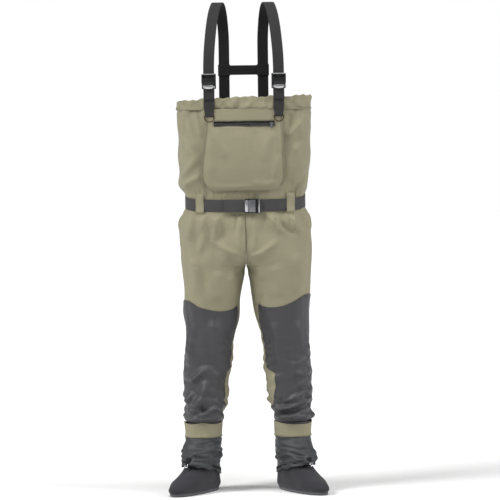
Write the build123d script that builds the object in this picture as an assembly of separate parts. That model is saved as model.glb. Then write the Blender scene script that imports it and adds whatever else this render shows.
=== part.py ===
from build123d import *
import os
from math import cos, sin, radians, copysign, pi, atan2, degrees

# Chest waders, standing as if worn. Millimetres, +Z up, the front faces -Y, origin on the floor
# under the middle. Soft pieces are thin closed walls, hard pieces have their real shape.

# ---- driving sizes -------------------------------------------------------------------------------
FABRIC = 2.0             # wall of the laminated fabric as modelled
NEOPRENE = 4.0           # wall of the sock
HEM_TOP = 1380.0         # top of the bib
HEM_SEAM = 1337.0        # lower edge of the hem casing
WAIST_SEAM = 1012.0      # bib meets trousers
OVERLAY_TOP, OVERLAY_BOTTOM = 650.0, 252.0   # dark knee and shin overlay
SOCK_TOP = 178.0         # neoprene meets the trouser leg
SOLE = 6.0               # sock sole thickness
BAND_BOTTOM, BAND_TOP = 191.0, 243.0         # contrast band at the gaiter's top
GAITER_TOP = 246.0
FOOT_X, FOOT_Y, FOOT_YAW = 157.0, 19.0, 32.0  # ankle axis and toe-out angle in degrees
STRAP_WIDTH, WEBBING = 38.0, 1.6             # suspender webbing
STRAP_X_FRONT, STRAP_X_TOP, STRAP_X_BACK = 120.0, 88.0, 69.0
STRAP_BACK_Y, STRAP_STRAIGHT_TOP = 147.0, 1562.0
BUCKLE_Z, BUCKLE_YAW = 1433.0, 7.0           # shoulder buckle centre and turn round the chest
BELT_WIDTH, BELT_THICK = 42.0, 1.8
BELT_Z, BELT_SLOPE = 1022.0, 0.16            # belt height at the side, and its fall to the front
BELT_GAP = 5.0                               # from the fabric to the belt's inner face
BELT_BUCKLE_X, BELT_BUCKLE_Y = 25.0, -112.5
POCKET_BOTTOM, POCKET_SHELL = 1052.0, 2.0
ZIP_Z, ZIP_HALF, ZIP_FRONT = 1286.0, 104.5, -124.6   # zip line, half length, front of the tape
SLIDER_X = 94.0
BODY_MID = 12.0          # depth of the side seams
CLEAR = 0.3              # free gap between neighbouring pieces
BIG = 3000.0

# Horizontal sections of the torso, from hip to hem: height, half width, front, back, and the
# squareness of the front and back halves (2 is an ellipse).
TORSO = [
    (900, 229, -117, 154, 2.8, 2.4),
    (940, 228, -113, 148, 3.0, 2.4),
    (975, 222, -107, 138, 3.2, 2.4),
    (1012, 204, -104, 126, 3.3, 2.4),
    (1040, 206, -104, 124, 3.4, 2.4),
    (1085, 219, -112, 130, 3.4, 2.4),
    (1130, 226, -118, 137, 3.4, 2.5),
    (1182, 229, -120, 141, 3.4, 2.5),
    (1240, 229, -120, 143, 3.4, 2.6),
    (1290, 231, -119, 143, 3.4, 2.6),
    (1337, 232, -118, 142, 3.4, 2.6),
    (1400, 229, -116, 140, 3.4, 2.6),
]

# Sections of the right half of the trousers, from waist to ankle: height, inner and outer x,
# front, back, squareness front and back, and turn in degrees. Where the inner x is negative the
# half is cut at the centre seam, so the crotch is where it passes zero.
TROUSER = [
    (1040, -206, 206, -104, 124, 3.4, 2.4, 0),
    (1012, -204, 204, -104, 126, 3.3, 2.4, 0),
    (975, -222, 222, -107, 138, 3.2, 2.4, 0),
    (940, -228, 228, -113, 148, 3.0, 2.4, 0),
    (900, -229, 229, -117, 154, 2.8, 2.4, 0),
    (860, -150, 230, -119, 156, 2.6, 2.4, 0),
    (825, -52, 228, -117, 152, 2.5, 2.3, 0),
    (795, -4, 225, -112, 144, 2.4, 2.3, 0),
    (757, 7, 222, -104, 132, 2.3, 2.2, 0),
    (687, 16, 221, -92, 112, 2.2, 2.2, 0),
    (617, 26, 218, -84, 98, 2.2, 2.2, 0),
    (547, 40, 214, -79, 87, 2.2, 2.2, 0),
    (477, 54, 213, -75, 88, 2.2, 2.2, 0),
    (407, 63, 219, -66, 98, 2.2, 2.2, 0),
    (337, 74, 219, -58, 97, 2.2, 2.2, 0),
    (272, 96, 211, -44, 82, 2.1, 2.1, 4),
    (232, 103, 208, -38, 75, 2.1, 2.1, 14),
    (178, 107, 207, -33, 71, 2.1, 2.1, 32),
]

# Sections of the foot and gaiter in the foot's own frame: height, how far the middle lies ahead of
# the ankle, half length and half width.
SOCK = [
    (6, 62, 136, 45), (20, 62, 143, 51), (40, 55, 133, 51), (58, 37, 112, 49), (76, 22, 93, 46),
    (96, 10, 76, 44), (120, 3, 64, 44), (150, 0, 56, 47), (178, 0, 52, 50),
]
GAITER = [
    (45, 22, 114, 64), (62, 24, 106, 61), (92, 20, 94, 60), (127, 14, 80, 60), (162, 6, 70, 61),
    (197, 0, 63, 60), (246, 0, 66, 61),
]


def blend(rows, z):
    """The row of a section table at a height between two of its rows."""
    rows = sorted(rows)
    for low, high in zip(rows, rows[1:]):
        if low[0] <= z <= high[0]:
            t = (z - low[0]) / (high[0] - low[0])
            return tuple(a + (b - a) * t for a, b in zip(low, high))
    raise ValueError(f"height {z} is outside the table")


def power(value, exponent):
    return copysign(abs(value) ** exponent, value)


def outline(z, cx, cy, hx, hy, n_front, n_back, yaw=0.0, count=24):
    """Closed smooth horizontal outline, a rounded box with its own squareness front and back."""
    points = []
    for i in range(count):
        angle = 2 * pi * i / count
        n = n_front if sin(angle) < 0 else n_back
        x, y = hx * power(cos(angle), 2 / n), hy * power(sin(angle), 2 / n)
        a = radians(yaw)
        points.append(Vector(cx + x * cos(a) - y * sin(a), cy + x * sin(a) + y * cos(a), z))
    return Wire([Edge.make_spline(points, periodic=True)])


def torso_outline(z, offset):
    _, half, front, back, n_front, n_back = blend(TORSO, z)
    depth = (back - front) / 2 + offset
    return outline(z, 0, (front + back) / 2, half + offset, depth, n_front, n_back)


def torso(offset):
    """Solid inside the torso's surface, moved out by offset."""
    return Solid.make_loft([torso_outline(row[0], offset) for row in TORSO])


def leg(offset):
    """Solid inside the right trouser half's surface, moved out by offset."""
    wires = []
    for z, x_in, x_out, front, back, n_front, n_back, yaw in TROUSER:
        hx, hy = (x_out - x_in) / 2 + offset, (back - front) / 2 + offset
        middle_x, middle_y = (x_in + x_out) / 2, (front + back) / 2
        wires.append(outline(z, middle_x, middle_y, hx, hy, n_front, n_back, yaw))
    return Solid.make_loft(wires)


def foot_frame(ahead, across, z):
    """World point of a place given ahead of the ankle, across to +X and up."""
    a = radians(FOOT_YAW)
    return (FOOT_X + ahead * sin(a) + across * cos(a), FOOT_Y - ahead * cos(a) + across * sin(a), z)


def foot_loft(rows, offset, squareness=2.2):
    wires = []
    for z, ahead, half_length, half_width in rows:
        x, y, _ = foot_frame(ahead, 0, z)
        wires.append(outline(z, x, y, half_width + offset, half_length + offset, squareness,
                             squareness, FOOT_YAW))
    return Solid.make_loft(wires)


def layer(low, high):
    return Pos(0, 0, (low + high) / 2) * Box(BIG, BIG, high - low)


def front_y(x, z, offset=0.0):
    """Depth of the torso's front surface."""
    _, half, front, back, n_front, _ = blend(TORSO, z)
    depth = (back - front) / 2 + offset
    share = (1 - (abs(x) / (half + offset)) ** n_front) ** (1 / n_front)
    return (front + back) / 2 - depth * share


def ribbon(points, width, thick, across):
    """Flat webbing through a list of points, its width along the across direction at each."""
    path = [Vector(*p) for p in points]
    rings = []
    for i, (point, side) in enumerate(zip(path, across)):
        ahead = path[min(i + 1, len(path) - 1)] - path[max(i - 1, 0)]
        side = Vector(*side).normalized()
        normal = side.cross(ahead).normalized()
        rings.append([point + side * (width / 2 * a) + normal * (thick / 2 * b)
                      for a, b in ((-1, -1), (1, -1), (1, 1), (-1, 1))])
    faces = [Face(Wire.make_polygon(ring)) for ring in (rings[0], rings[-1])]
    for low, high in zip(rings, rings[1:]):
        for i in range(4):
            j = (i + 1) % 4
            for corners in ((low[i], low[j], high[j]), (low[i], high[j], high[i])):
                faces.append(Face(Wire.make_polygon(corners)))
    return Solid(Shell(faces))


def twin(piece):
    return mirror(piece, about=Plane.YZ)


def rod(radius, length):
    """Round bar along X, centred."""
    return Rot(0, 90, 0) * Cylinder(radius, length)


def save(piece, name):
    solids = piece.solids()
    export_step(solids[0] if len(solids) == 1 else Compound(children=list(solids)),
                f"parts/{name}.step")


def save_pair(piece, name):
    """The piece on the +X side and its mirror image."""
    save(piece, name + "_right")
    save(twin(piece), name + "_left")


# ---- bib -----------------------------------------------------------------------------------------
torso_outer, torso_inner = torso(0), torso(-FABRIC)
front_half = Pos(0, BODY_MID - BIG / 2, 0) * Box(BIG, BIG, BIG)
back_half = Pos(0, BODY_MID + BIG / 2, 0) * Box(BIG, BIG, BIG)
bib = (torso_outer - torso_inner) & layer(WAIST_SEAM, HEM_SEAM)
save(bib & front_half, "bib_front_panel")
save(bib & back_half, "bib_back_panel")

# The hem is folded over a flat elastic, in a tunnel of its own.
CASING, TUNNEL_OUT, TUNNEL_IN, SELVEDGE = 3.5, 2.3, -0.8, 4.0
casing_outer, tunnel_outer, tunnel_inner = torso(CASING), torso(TUNNEL_OUT), torso(TUNNEL_IN)
tunnel = (tunnel_outer - tunnel_inner) & layer(HEM_SEAM + SELVEDGE, HEM_TOP - SELVEDGE)
save(((casing_outer - torso_inner) & layer(HEM_SEAM, HEM_TOP)) - tunnel, "hem_casing")
elastic = torso(TUNNEL_OUT - 0.5) - torso(TUNNEL_IN + 0.5)
save(elastic & layer(HEM_SEAM + SELVEDGE + 2, HEM_TOP - SELVEDGE - 2), "hem_elastic")

# ---- trousers ------------------------------------------------------------------------------------
right_half = Pos(BIG / 2, 0, 0) * Box(BIG, BIG, BIG)
leg_outer, leg_inner = leg(0), leg(-FABRIC)
trousers = (leg_outer - leg_inner) & layer(SOCK_TOP, WAIST_SEAM) & right_half
save_pair(trousers, "trouser")

# Waterproof tape over the centre seam, inside, front and back.
TAPE_HALF, TAPE_THICK, TAPE_END = 11.0, 0.8, 836.0
tape = (leg_inner - leg(-FABRIC - TAPE_THICK)) & layer(TAPE_END, WAIST_SEAM - 2)
tape = tape & (Pos(TAPE_HALF / 2, 0, TAPE_END) * Box(TAPE_HALF, BIG, BIG))
save(tape + twin(tape), "centre_seam_tape")

# The dark overlay is bonded on the front and outer side of the leg, from above the knee.
OVERLAY_GAP, OVERLAY_THICK = 0.2, 1.8
overlay = leg(OVERLAY_GAP + OVERLAY_THICK) - leg(OVERLAY_GAP)
overlay = overlay & layer(OVERLAY_BOTTOM, OVERLAY_TOP)
overlay = overlay & (Pos(FOOT_X, BODY_MID + 24 - BIG / 2, 0) * Rot(0, 0, -8) * Box(BIG, BIG, BIG))
save_pair(overlay, "leg_overlay")

# ---- socks ---------------------------------------------------------------------------------------
sock = foot_loft(SOCK, 0) - foot_loft([(z, u, a - NEOPRENE, b - NEOPRENE) for z, u, a, b in SOCK], 0)
save_pair(sock, "sock_upper")
sole_row = SOCK[0]
sole_face = make_face(outline(0, *foot_frame(sole_row[1], 0, 0)[:2], sole_row[3], sole_row[2], 2.2,
                              2.2, FOOT_YAW))
save_pair(extrude(sole_face, SOLE, dir=(0, 0, 1)), "sock_sole")

# ---- gaiters -------------------------------------------------------------------------------------
GAITER_WALL, HEM_FRONT, HEM_BACK, HEM_BAND = 1.5, 88.0, 62.0, 14.0
hem_run = 205.0
hem_tilt = degrees(atan2(HEM_FRONT - HEM_BACK, hem_run))
hem_middle = foot_frame(24, 0, (HEM_FRONT + HEM_BACK) / 2)


def above_hem(rise):
    """Half space above a plane parallel to the sloping hem."""
    place = Pos(*hem_middle) * Rot(0, 0, FOOT_YAW) * Rot(-hem_tilt, 0, 0)
    return place * Pos(0, 0, rise + BIG / 2) * Box(BIG, BIG, BIG)


gaiter_outer, gaiter_inner = foot_loft(GAITER, 0), foot_loft(GAITER, -GAITER_WALL)
gaiter = (gaiter_outer - gaiter_inner) & above_hem(0) & layer(0, GAITER_TOP)
save_pair(gaiter, "gaiter")
band = foot_loft(GAITER, 1.6) - foot_loft(GAITER, 0.2)
save_pair(band & layer(BAND_BOTTOM, BAND_TOP), "gaiter_band")
hem_elastic = foot_loft(GAITER, -GAITER_WALL - 0.2) - foot_loft(GAITER, -GAITER_WALL - 1.7)
save_pair((hem_elastic & above_hem(2)) - above_hem(2 + HEM_BAND), "gaiter_elastic")

# Lace hook: a wire hook that swings in the loop of a short tab at the front of each gaiter.
HOOK_Z, HOOK_SLOPE, TAB_WIDTH, TAB_HEIGHT, TAB_THICK = 104.0, 22.0, 16.0, 26.0, 1.6
HOOK_WIRE, HOOK_WIDTH = 1.3, 9.0
hook_ahead = blend([(r[0], r[1] + r[2]) for r in GAITER], HOOK_Z)[1] + 4.6
hook_place = Pos(*foot_frame(hook_ahead, 0, HOOK_Z)) * Rot(0, 0, FOOT_YAW) * Rot(-HOOK_SLOPE, 0, 0)
loop = rod(HOOK_WIRE + 1.7, TAB_WIDTH - 2 * 5.0)
tab = Pos(0, 2.2, TAB_HEIGHT / 2) * Box(TAB_WIDTH, TAB_THICK, TAB_HEIGHT)
tab = tab + Pos(0, 0.8, 2) * Box(TAB_WIDTH - 10.0, 4.4, 4)
save_pair(hook_place * ((tab + loop) - rod(HOOK_WIRE + 0.08, BIG)), "hook_tab")
legs = [Pos(side * HOOK_WIDTH / 2, 0, -5.5) * Cylinder(HOOK_WIRE, 11) for side in (-1, 1)]
tip = rod(HOOK_WIRE, HOOK_WIDTH)
hook = rod(HOOK_WIRE, HOOK_WIDTH) + legs + Pos(0, 0, -11) * tip
hook += [Pos(side * HOOK_WIDTH / 2, -2.6, -11) * Rot(90, 0, 0) * Cylinder(HOOK_WIRE, 5.2)
         for side in (-1, 1)]
hook += Pos(0, -5.2, -11) * tip
hook += [Pos(side * HOOK_WIDTH / 2, y, z) * Sphere(HOOK_WIRE)
         for side in (-1, 1) for y, z in ((0, 0), (0, -11), (-5.2, -11))]
save_pair(hook_place * hook, "gaiter_hook")

# ---- chest pocket --------------------------------------------------------------------------------
# How far the pocket stands off the bib, from its top seam down to its bottom seam.
BULGE = [(1036, 9), (1056, 11), (1090, 15), (1130, 16.5), (1200, 16.5), (1240, 12), (1266, 6),
         (1282, 3.8), (1310, 3), (1345, 2.8)]


def pouch(offset):
    return Solid.make_loft([torso_outline(z, bulge + offset) for z, bulge in BULGE])


def pocket_prism(top, bottom, inset):
    side = [(130 - inset, top), (133 - inset, 1250), (146 - inset, 1150), (143 - inset, 1096),
            (134 - inset, bottom)]
    points = side + [(-x, z) for x, z in reversed(side)]
    face = make_face(Plane.XZ * Polyline(*points, close=True))
    corners = [v for v in face.vertices() if v.Z < bottom + 1]
    face = fillet(corners, 30)
    return extrude(face, 250, dir=(0, -1, 0))


prism = pocket_prism(HEM_SEAM, POCKET_BOTTOM, 0)
pouch_outer = pouch(0)
edges = (pouch_outer - torso(CLEAR)) & prism
panel = edges - pouch(-POCKET_SHELL)
SEWN = 4.0               # height of the sewn edges, where the pocket lies on the bib
panel += edges & layer(POCKET_BOTTOM, POCKET_BOTTOM + SEWN)
panel += edges & layer(HEM_SEAM - SEWN, HEM_SEAM)
mouth = Pos(0, -120, ZIP_Z) * Box(2 * ZIP_HALF - 12, 40, 9)
save(panel - mouth, "chest_pocket_panel")
lining = (pouch(-POCKET_SHELL - 0.6) - pouch(-POCKET_SHELL - 1.5)) & pocket_prism(1262, 1066, 22)
save(lining, "pocket_lining")

# Zip: two flat tapes, the chain between them, stops, and a slider with a swinging pull.
TAPE_TALL, CHAIN_TALL, TAPE = 18.0, 5.2, 0.9
strip = (TAPE_TALL - CHAIN_TALL) / 2
for name, side in (("upper", 1), ("lower", -1)):
    z = ZIP_Z + side * (CHAIN_TALL + strip) / 2
    save(Pos(0, ZIP_FRONT + TAPE / 2, z) * Box(2 * ZIP_HALF, TAPE, strip), f"zip_tape_{name}")
chain = Pos(0, ZIP_FRONT + 0.3, ZIP_Z) * Box(2 * ZIP_HALF - 8, 1.6, CHAIN_TALL)
save(chain, "zip_chain")
stops = [Pos(side * (ZIP_HALF - 2.6), ZIP_FRONT, ZIP_Z) * Box(2.4, 2.4, CHAIN_TALL)
         for side in (-1, 1)]
save(Compound(children=stops), "zip_stops")

chain_front = ZIP_FRONT - 0.5
slider = Pos(SLIDER_X, chain_front - 1.1, ZIP_Z) * Box(10, 2.6, 9)
slider = fillet(slider.edges().filter_by(Axis.Y), 2.0)
slider -= Pos(SLIDER_X, chain_front + 0.2, ZIP_Z) * Box(20, 1.0, CHAIN_TALL + 2 * CLEAR)
PULL_Y, PULL_Z = chain_front - 4.4, ZIP_Z + 1.0
bridge = Pos(SLIDER_X, PULL_Y, PULL_Z) * rod(0.9, 6.4)
bridge += [Pos(SLIDER_X + side * 3.2, PULL_Y + 1.3, PULL_Z) * Box(1.2, 4.4, 1.8) for side in (-1, 1)]
save(slider + bridge, "zip_slider")
pull = Pos(SLIDER_X, PULL_Y, PULL_Z - 9.4) * Box(6.5, 1.4, 18)
pull = fillet(pull.edges().filter_by(Axis.Y), 1.6)
ring_out = Pos(SLIDER_X, PULL_Y, PULL_Z) * rod(1.75, 4.6)
neck = Pos(SLIDER_X, PULL_Y, PULL_Z - 2) * Box(4.6, 1.4, 4)
pull = (pull & layer(0, PULL_Z - 3)) + neck + ring_out - Pos(SLIDER_X, PULL_Y, PULL_Z) * rod(0.96, 20)
save(pull, "zip_pull")


# ---- cam-lock buckles ----------------------------------------------------------------------------
# Local frame of a buckle: X along the pivot, Z along the webbing, the lever side faces -Y.
PIVOT_Y, PIVOT_Z, PIN_R, BARREL_R = -7.0, 6.0, 1.6, 4.2
TOP, BOTTOM, PLATE = 26.0, -26.0, 2.0
BAR_TALL, SLOT_TOP = 2.6, -16.5
WEB_Y = -CLEAR - WEBBING / 2     # middle of the webbing under the cam
LOOP_R = 2.3
BAR_Z = BOTTOM + BAR_TALL / 2


def cam_buckle(name, place, web_width, cheek, mirrored):
    inside = web_width + 1.2
    outside = inside + 2 * cheek
    post_x = (inside + cheek) / 2
    frame = Pos(0, PLATE / 2, (TOP + SLOT_TOP) / 2) * Box(outside, PLATE, TOP - SLOT_TOP)
    frame += Pos(0, PLATE / 2, BAR_Z) * Box(outside, PLATE, BAR_TALL)
    for side in (-1, 1):
        post = Box(cheek, PLATE, SLOT_TOP - BOTTOM)
        frame += Pos(side * post_x, PLATE / 2, (SLOT_TOP + BOTTOM) / 2) * post
        wall = Pos(side * post_x, -5, 8) * Box(cheek, 10, 32)
        front_edges = wall.edges().filter_by(Axis.X).group_by(Axis.Y)[0]
        frame += fillet(front_edges, 4.0)
    frame += Pos(0, -5.2, TOP - 4.6) * rod(2.0, outside - 0.2)
    pin_place = Pos(0, PIVOT_Y, PIVOT_Z)
    frame -= pin_place * rod(PIN_R + 0.02, BIG)
    pin = pin_place * rod(PIN_R, outside + 0.8)

    width = inside - 1.0
    cam = Polyline((-8.5, 6.0), (-3.3, 8.2), (-2.35, 2.5), (-3.0, 0.2), (-8.5, 0.2), close=True)
    nose = extrude(make_face(Plane.YZ * cam), width / 2, dir=(1, 0, 0), both=True)
    handle = Pos(0, -9.8, -1.5) * Box(width, 2.4, 23)
    handle = fillet(handle.edges().filter_by(Axis.X), 0.8)
    lip = Pos(0, -10.4, -19.5) * Box(width - 4, 2.0, 14)
    lip = fillet(lip.edges().filter_by(Axis.Y).group_by(Axis.Z)[0], 6.0)
    lever = handle + nose + lip + pin_place * rod(BARREL_R, width)
    lever -= pin_place * rod(PIN_R + 0.05, BIG)
    lever -= Pos(0, -7, 6.5) * Box(9, 12, 12)

    coil = Helix(pitch=1.3, height=5.2, radius=2.45)
    spring = sweep(Plane(origin=coil @ 0, z_dir=coil % 0) * Circle(0.45), path=coil)
    spring = pin_place * Pos(-2.6, 0, 0) * Rot(0, 90, 0) * spring
    for part, piece in (("frame", frame), ("pin", pin), ("lever", lever), ("spring", spring)):
        piece = place * piece
        if mirrored:
            save_pair(piece, f"{name}_{part}")
        else:
            save(piece, f"{name}_{part}")


buckle_y = front_y(STRAP_X_FRONT, 1350) - 9.6
buckle_place = Pos(STRAP_X_FRONT, buckle_y, BUCKLE_Z) * Rot(0, 0, BUCKLE_YAW)
cam_buckle("shoulder_buckle", buckle_place, STRAP_WIDTH, 4.9, True)
belt_front_z = BELT_Z + BELT_SLOPE * (BELT_BUCKLE_Y - BODY_MID)
belt_place = Pos(BELT_BUCKLE_X, BELT_BUCKLE_Y, belt_front_z) * Rot(0, 90, 0)
cam_buckle("belt_buckle", belt_place, BELT_WIDTH, 3.0, False)

# ---- chest tabs and D-rings ----------------------------------------------------------------------
RING_Z = 1314.0 - BUCKLE_Z       # D-ring bar below the buckle's middle
RING_WIRE, RING_HALF, RING_DROP, RING_FLAT = 1.9, 18.5, 24.0, 4.0
TAB_END = 28.0                   # the tab narrows to fit the D-ring
wide, narrow = STRAP_WIDTH / 2, TAB_END / 2
taper = [(-wide, BAR_Z - 2), (wide, BAR_Z - 2), (wide, BAR_Z - 40), (narrow, RING_Z + 2),
         (-narrow, RING_Z + 2), (-wide, BAR_Z - 40)]
taper_face = make_face(Plane.XZ * Polyline(*taper, close=True))
tab = Pos(0, 1, 0) * extrude(taper_face, WEBBING, dir=(0, 1, 0), both=True)
for z, length in ((BAR_Z, STRAP_WIDTH), (RING_Z, TAB_END)):
    tab += Pos(0, 1, z) * rod(LOOP_R + WEBBING, length)
for z in (BAR_Z, RING_Z):
    tab -= Pos(0, 1, z) * rod(LOOP_R, BIG)
save_pair(buckle_place * tab, "chest_tab")
arc_r = RING_HALF - RING_WIRE
side_run = RING_DROP - arc_r
arc_low = -side_run - arc_r + RING_FLAT
arc = ThreePointArc((arc_r, 0, -side_run), (0, 0, arc_low), (-arc_r, 0, -side_run))
ring = Pos(arc_r, 0, -side_run / 2) * Cylinder(RING_WIRE, side_run)
ring += Pos(-arc_r, 0, -side_run / 2) * Cylinder(RING_WIRE, side_run)
ring += rod(RING_WIRE, 2 * arc_r)
ring += sweep(Plane(origin=arc @ 0, z_dir=arc % 0) * Circle(RING_WIRE), path=arc)
ring += [Pos(side * arc_r, 0, z) * Sphere(RING_WIRE) for side in (-1, 1) for z in (0, -side_run)]
save_pair(buckle_place * Pos(0, 1, RING_Z) * ring, "d_ring")

# ---- shoulder straps -----------------------------------------------------------------------------
# Route of the right strap over the shoulder, seen from the side as depth and height.
ARCH = [(146, 1596), (137, 1634), (120, 1668), (94, 1694), (60, 1709), (20, 1712), (-18, 1703),
        (-52, 1680), (-82, 1640), (-106, 1585), (-122, 1525)]
turn = radians(BUCKLE_YAW)


def in_buckle(y, z):
    """World point in the shoulder buckle's frame."""
    return (STRAP_X_FRONT - y * sin(turn), buckle_y + y * cos(turn), BUCKLE_Z + z)


def strap_x(y):
    """Sideways place of the strap, which runs inwards from front to back."""
    if y < 20:
        return STRAP_X_TOP + (STRAP_X_FRONT - STRAP_X_TOP) * ((20 - y) / 147) ** 1.4
    return STRAP_X_BACK + (STRAP_X_TOP - STRAP_X_BACK) * ((STRAP_BACK_Y - y) / 127) ** 0.8


route = [(STRAP_X_BACK, STRAP_BACK_Y, HEM_SEAM + 4), (STRAP_X_BACK, STRAP_BACK_Y, STRAP_STRAIGHT_TOP)]
route += [(strap_x(y), y, z) for y, z in ARCH]
across = [(cos(turn * max(0, -y) / 122), sin(turn * max(0, -y) / 122), 0) for _, y, _ in route]
TAIL_STEP, TAIL_END = 3.6, -64.0
route += [in_buckle(WEB_Y, 44), in_buckle(WEB_Y, -12), in_buckle(WEB_Y - TAIL_STEP, -20),
          in_buckle(WEB_Y - TAIL_STEP, TAIL_END)]
across += [(cos(turn), sin(turn), 0)] * 4
save_pair(ribbon(route, STRAP_WIDTH, WEBBING, across), "shoulder_strap")

# Patches that hold the straps to the back of the bib.
PATCH_HALF, PATCH_BOTTOM = 24.0, 1330.0
patch_y = STRAP_BACK_Y + WEBBING + CLEAR
patch = Box(2 * PATCH_HALF, WEBBING, HEM_TOP - PATCH_BOTTOM)
patch = Pos(STRAP_X_BACK, patch_y, (PATCH_BOTTOM + HEM_TOP) / 2) * patch
save_pair(fillet(patch.edges().filter_by(Axis.Y), 5), "back_anchor")

# The crosspiece between the back straps, with a keeper round each strap so that it slides.
CROSS_Z, CROSS_TALL, KEEPER_TALL, KEEPER_GAP = 1481.0, 34.0, 40.0, 0.6
keeper_hole = Box(STRAP_WIDTH + 2 * KEEPER_GAP, WEBBING + 2 * KEEPER_GAP, BIG)
keeper = Box(STRAP_WIDTH + 2 * KEEPER_GAP + 3, WEBBING + 2 * KEEPER_GAP + 3, KEEPER_TALL)
keeper = fillet(keeper.edges().filter_by(Axis.Z), 1.2) - keeper_hole
cross = Box(2 * (STRAP_X_BACK - STRAP_WIDTH / 2 - 1), WEBBING, CROSS_TALL)
for side in (-1, 1):
    cross += Pos(side * STRAP_X_BACK, 0, 0) * keeper
save(Pos(0, STRAP_BACK_Y, CROSS_Z) * cross, "back_crosspiece")

# ---- belt ----------------------------------------------------------------------------------------
belt_tilt = degrees(atan2(BELT_SLOPE, 1))


def belt_slab(height):
    return Pos(0, BODY_MID, BELT_Z) * Rot(belt_tilt, 0, 0) * Box(BIG, BIG, height)


belt = (torso(BELT_GAP + BELT_THICK) - torso(BELT_GAP)) & belt_slab(BELT_WIDTH)
opening_low, opening_high = -3.0, 58.0
belt -= Pos((opening_low + opening_high) / 2, -120, BELT_Z) * Box(opening_high - opening_low, 80, 200)
bar_x = BELT_BUCKLE_X + BAR_Z
belt_loop = Pos(bar_x, BELT_BUCKLE_Y + 1, belt_front_z) * (
    Cylinder(LOOP_R + BELT_THICK, BELT_WIDTH) - Cylinder(LOOP_R, BELT_WIDTH))
ring_y = front_y(0, belt_front_z, BELT_GAP) - BELT_THICK / 2
tab_low, tab_high = opening_low - 6, bar_x - LOOP_R - 0.4
belt_end = Box(tab_high - tab_low, BELT_THICK, BELT_WIDTH)
belt_end = Pos((tab_low + tab_high) / 2, ring_y, belt_front_z) * belt_end
belt_web_y = BELT_BUCKLE_Y - CLEAR - BELT_THICK / 2
TAIL_OUT, TAIL_X = 3.8, -72.0
tail_y = min(ring_y, belt_web_y) - TAIL_OUT
rejoin_x = opening_high + 4
rejoin_y = front_y(rejoin_x, belt_front_z, BELT_GAP) - BELT_THICK / 2
through = [(x, y, belt_front_z) for x, y in (
    (rejoin_x, rejoin_y), (opening_high - 6, belt_web_y), (bar_x + 12, belt_web_y),
    (bar_x + 3, tail_y), (TAIL_X, tail_y))]
belt += belt_loop + belt_end + ribbon(through, BELT_WIDTH, BELT_THICK, [(0, 0, 1)] * len(through))
save(belt, "belt_webbing")

# Fabric loops that carry the belt, two in front and one behind.
LOOP_WIDTH, LOOP_LOW, LOOP_TALL, LOOP_X = 29.0, 974.0, 74.0, 155.0
bridge_in, bridge_out = BELT_GAP + BELT_THICK + 0.5, BELT_GAP + BELT_THICK + 1.9
arch = torso(bridge_out) - torso(bridge_in)
foot_strip = torso(bridge_out) - torso(0.3)


def carrier(x, low, front):
    half = front_half if front else back_half
    column = Pos(x, 0, 0) * Box(LOOP_WIDTH, BIG, BIG) & half
    piece = arch & column & layer(low, low + LOOP_TALL)
    piece += foot_strip & column & layer(low, low + 3)
    piece += foot_strip & column & layer(low + LOOP_TALL - 3, low + LOOP_TALL)
    return piece


save_pair(carrier(LOOP_X, LOOP_LOW, True), "belt_carrier")
save(carrier(0, BELT_Z + BELT_SLOPE * 118 - LOOP_TALL / 2, False), "belt_carrier_back")
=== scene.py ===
from math import cos, pi, radians, sin, tau

import bmesh
import bpy
import numpy as np
from bpy.props import FloatProperty, FloatVectorProperty, PointerProperty
from mathutils import Euler, Matrix, Vector


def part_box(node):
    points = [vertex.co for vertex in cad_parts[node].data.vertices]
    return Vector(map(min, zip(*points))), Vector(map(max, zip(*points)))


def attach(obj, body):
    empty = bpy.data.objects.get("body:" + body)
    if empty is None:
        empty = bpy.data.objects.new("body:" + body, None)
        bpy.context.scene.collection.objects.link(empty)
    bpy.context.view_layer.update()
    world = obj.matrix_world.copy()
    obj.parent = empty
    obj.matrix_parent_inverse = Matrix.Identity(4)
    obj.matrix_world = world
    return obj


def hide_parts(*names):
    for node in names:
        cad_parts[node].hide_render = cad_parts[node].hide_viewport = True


bl_info = {
    "name": "Chest Waders",
    "version": (1, 0, 0),
    "blender": (4, 5, 0),
    "location": "View3D > Sidebar > Waders",
    "description": "Stocking-foot chest waders with braces, belt, pocket, overlays and gaiters",
    "category": "Add Mesh",
}

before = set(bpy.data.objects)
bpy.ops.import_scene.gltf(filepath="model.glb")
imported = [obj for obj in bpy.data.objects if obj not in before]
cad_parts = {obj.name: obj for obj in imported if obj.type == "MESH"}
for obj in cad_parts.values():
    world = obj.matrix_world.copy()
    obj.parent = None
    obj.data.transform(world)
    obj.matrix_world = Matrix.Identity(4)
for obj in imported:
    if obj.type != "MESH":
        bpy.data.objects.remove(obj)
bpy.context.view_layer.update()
MM = 0.001
ROOT = "waders"
SIDES = ((1, "right"), (-1, "left"))

# ---- the garment's sections, in millimetres ------------------------------------------------------
# Torso: height, half width, front, back, squareness front and back.
TORSO = [
    (900, 229, -117, 154, 2.8, 2.4), (940, 228, -113, 148, 3.0, 2.4),
    (975, 222, -107, 138, 3.2, 2.4), (1012, 204, -104, 126, 3.3, 2.4),
    (1040, 206, -104, 124, 3.4, 2.4), (1085, 219, -112, 130, 3.4, 2.4),
    (1130, 226, -118, 137, 3.4, 2.5), (1182, 229, -120, 141, 3.4, 2.5),
    (1240, 229, -120, 143, 3.4, 2.6), (1290, 231, -119, 143, 3.4, 2.6),
    (1337, 232, -118, 142, 3.4, 2.6), (1400, 229, -116, 140, 3.4, 2.6),
]
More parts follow.
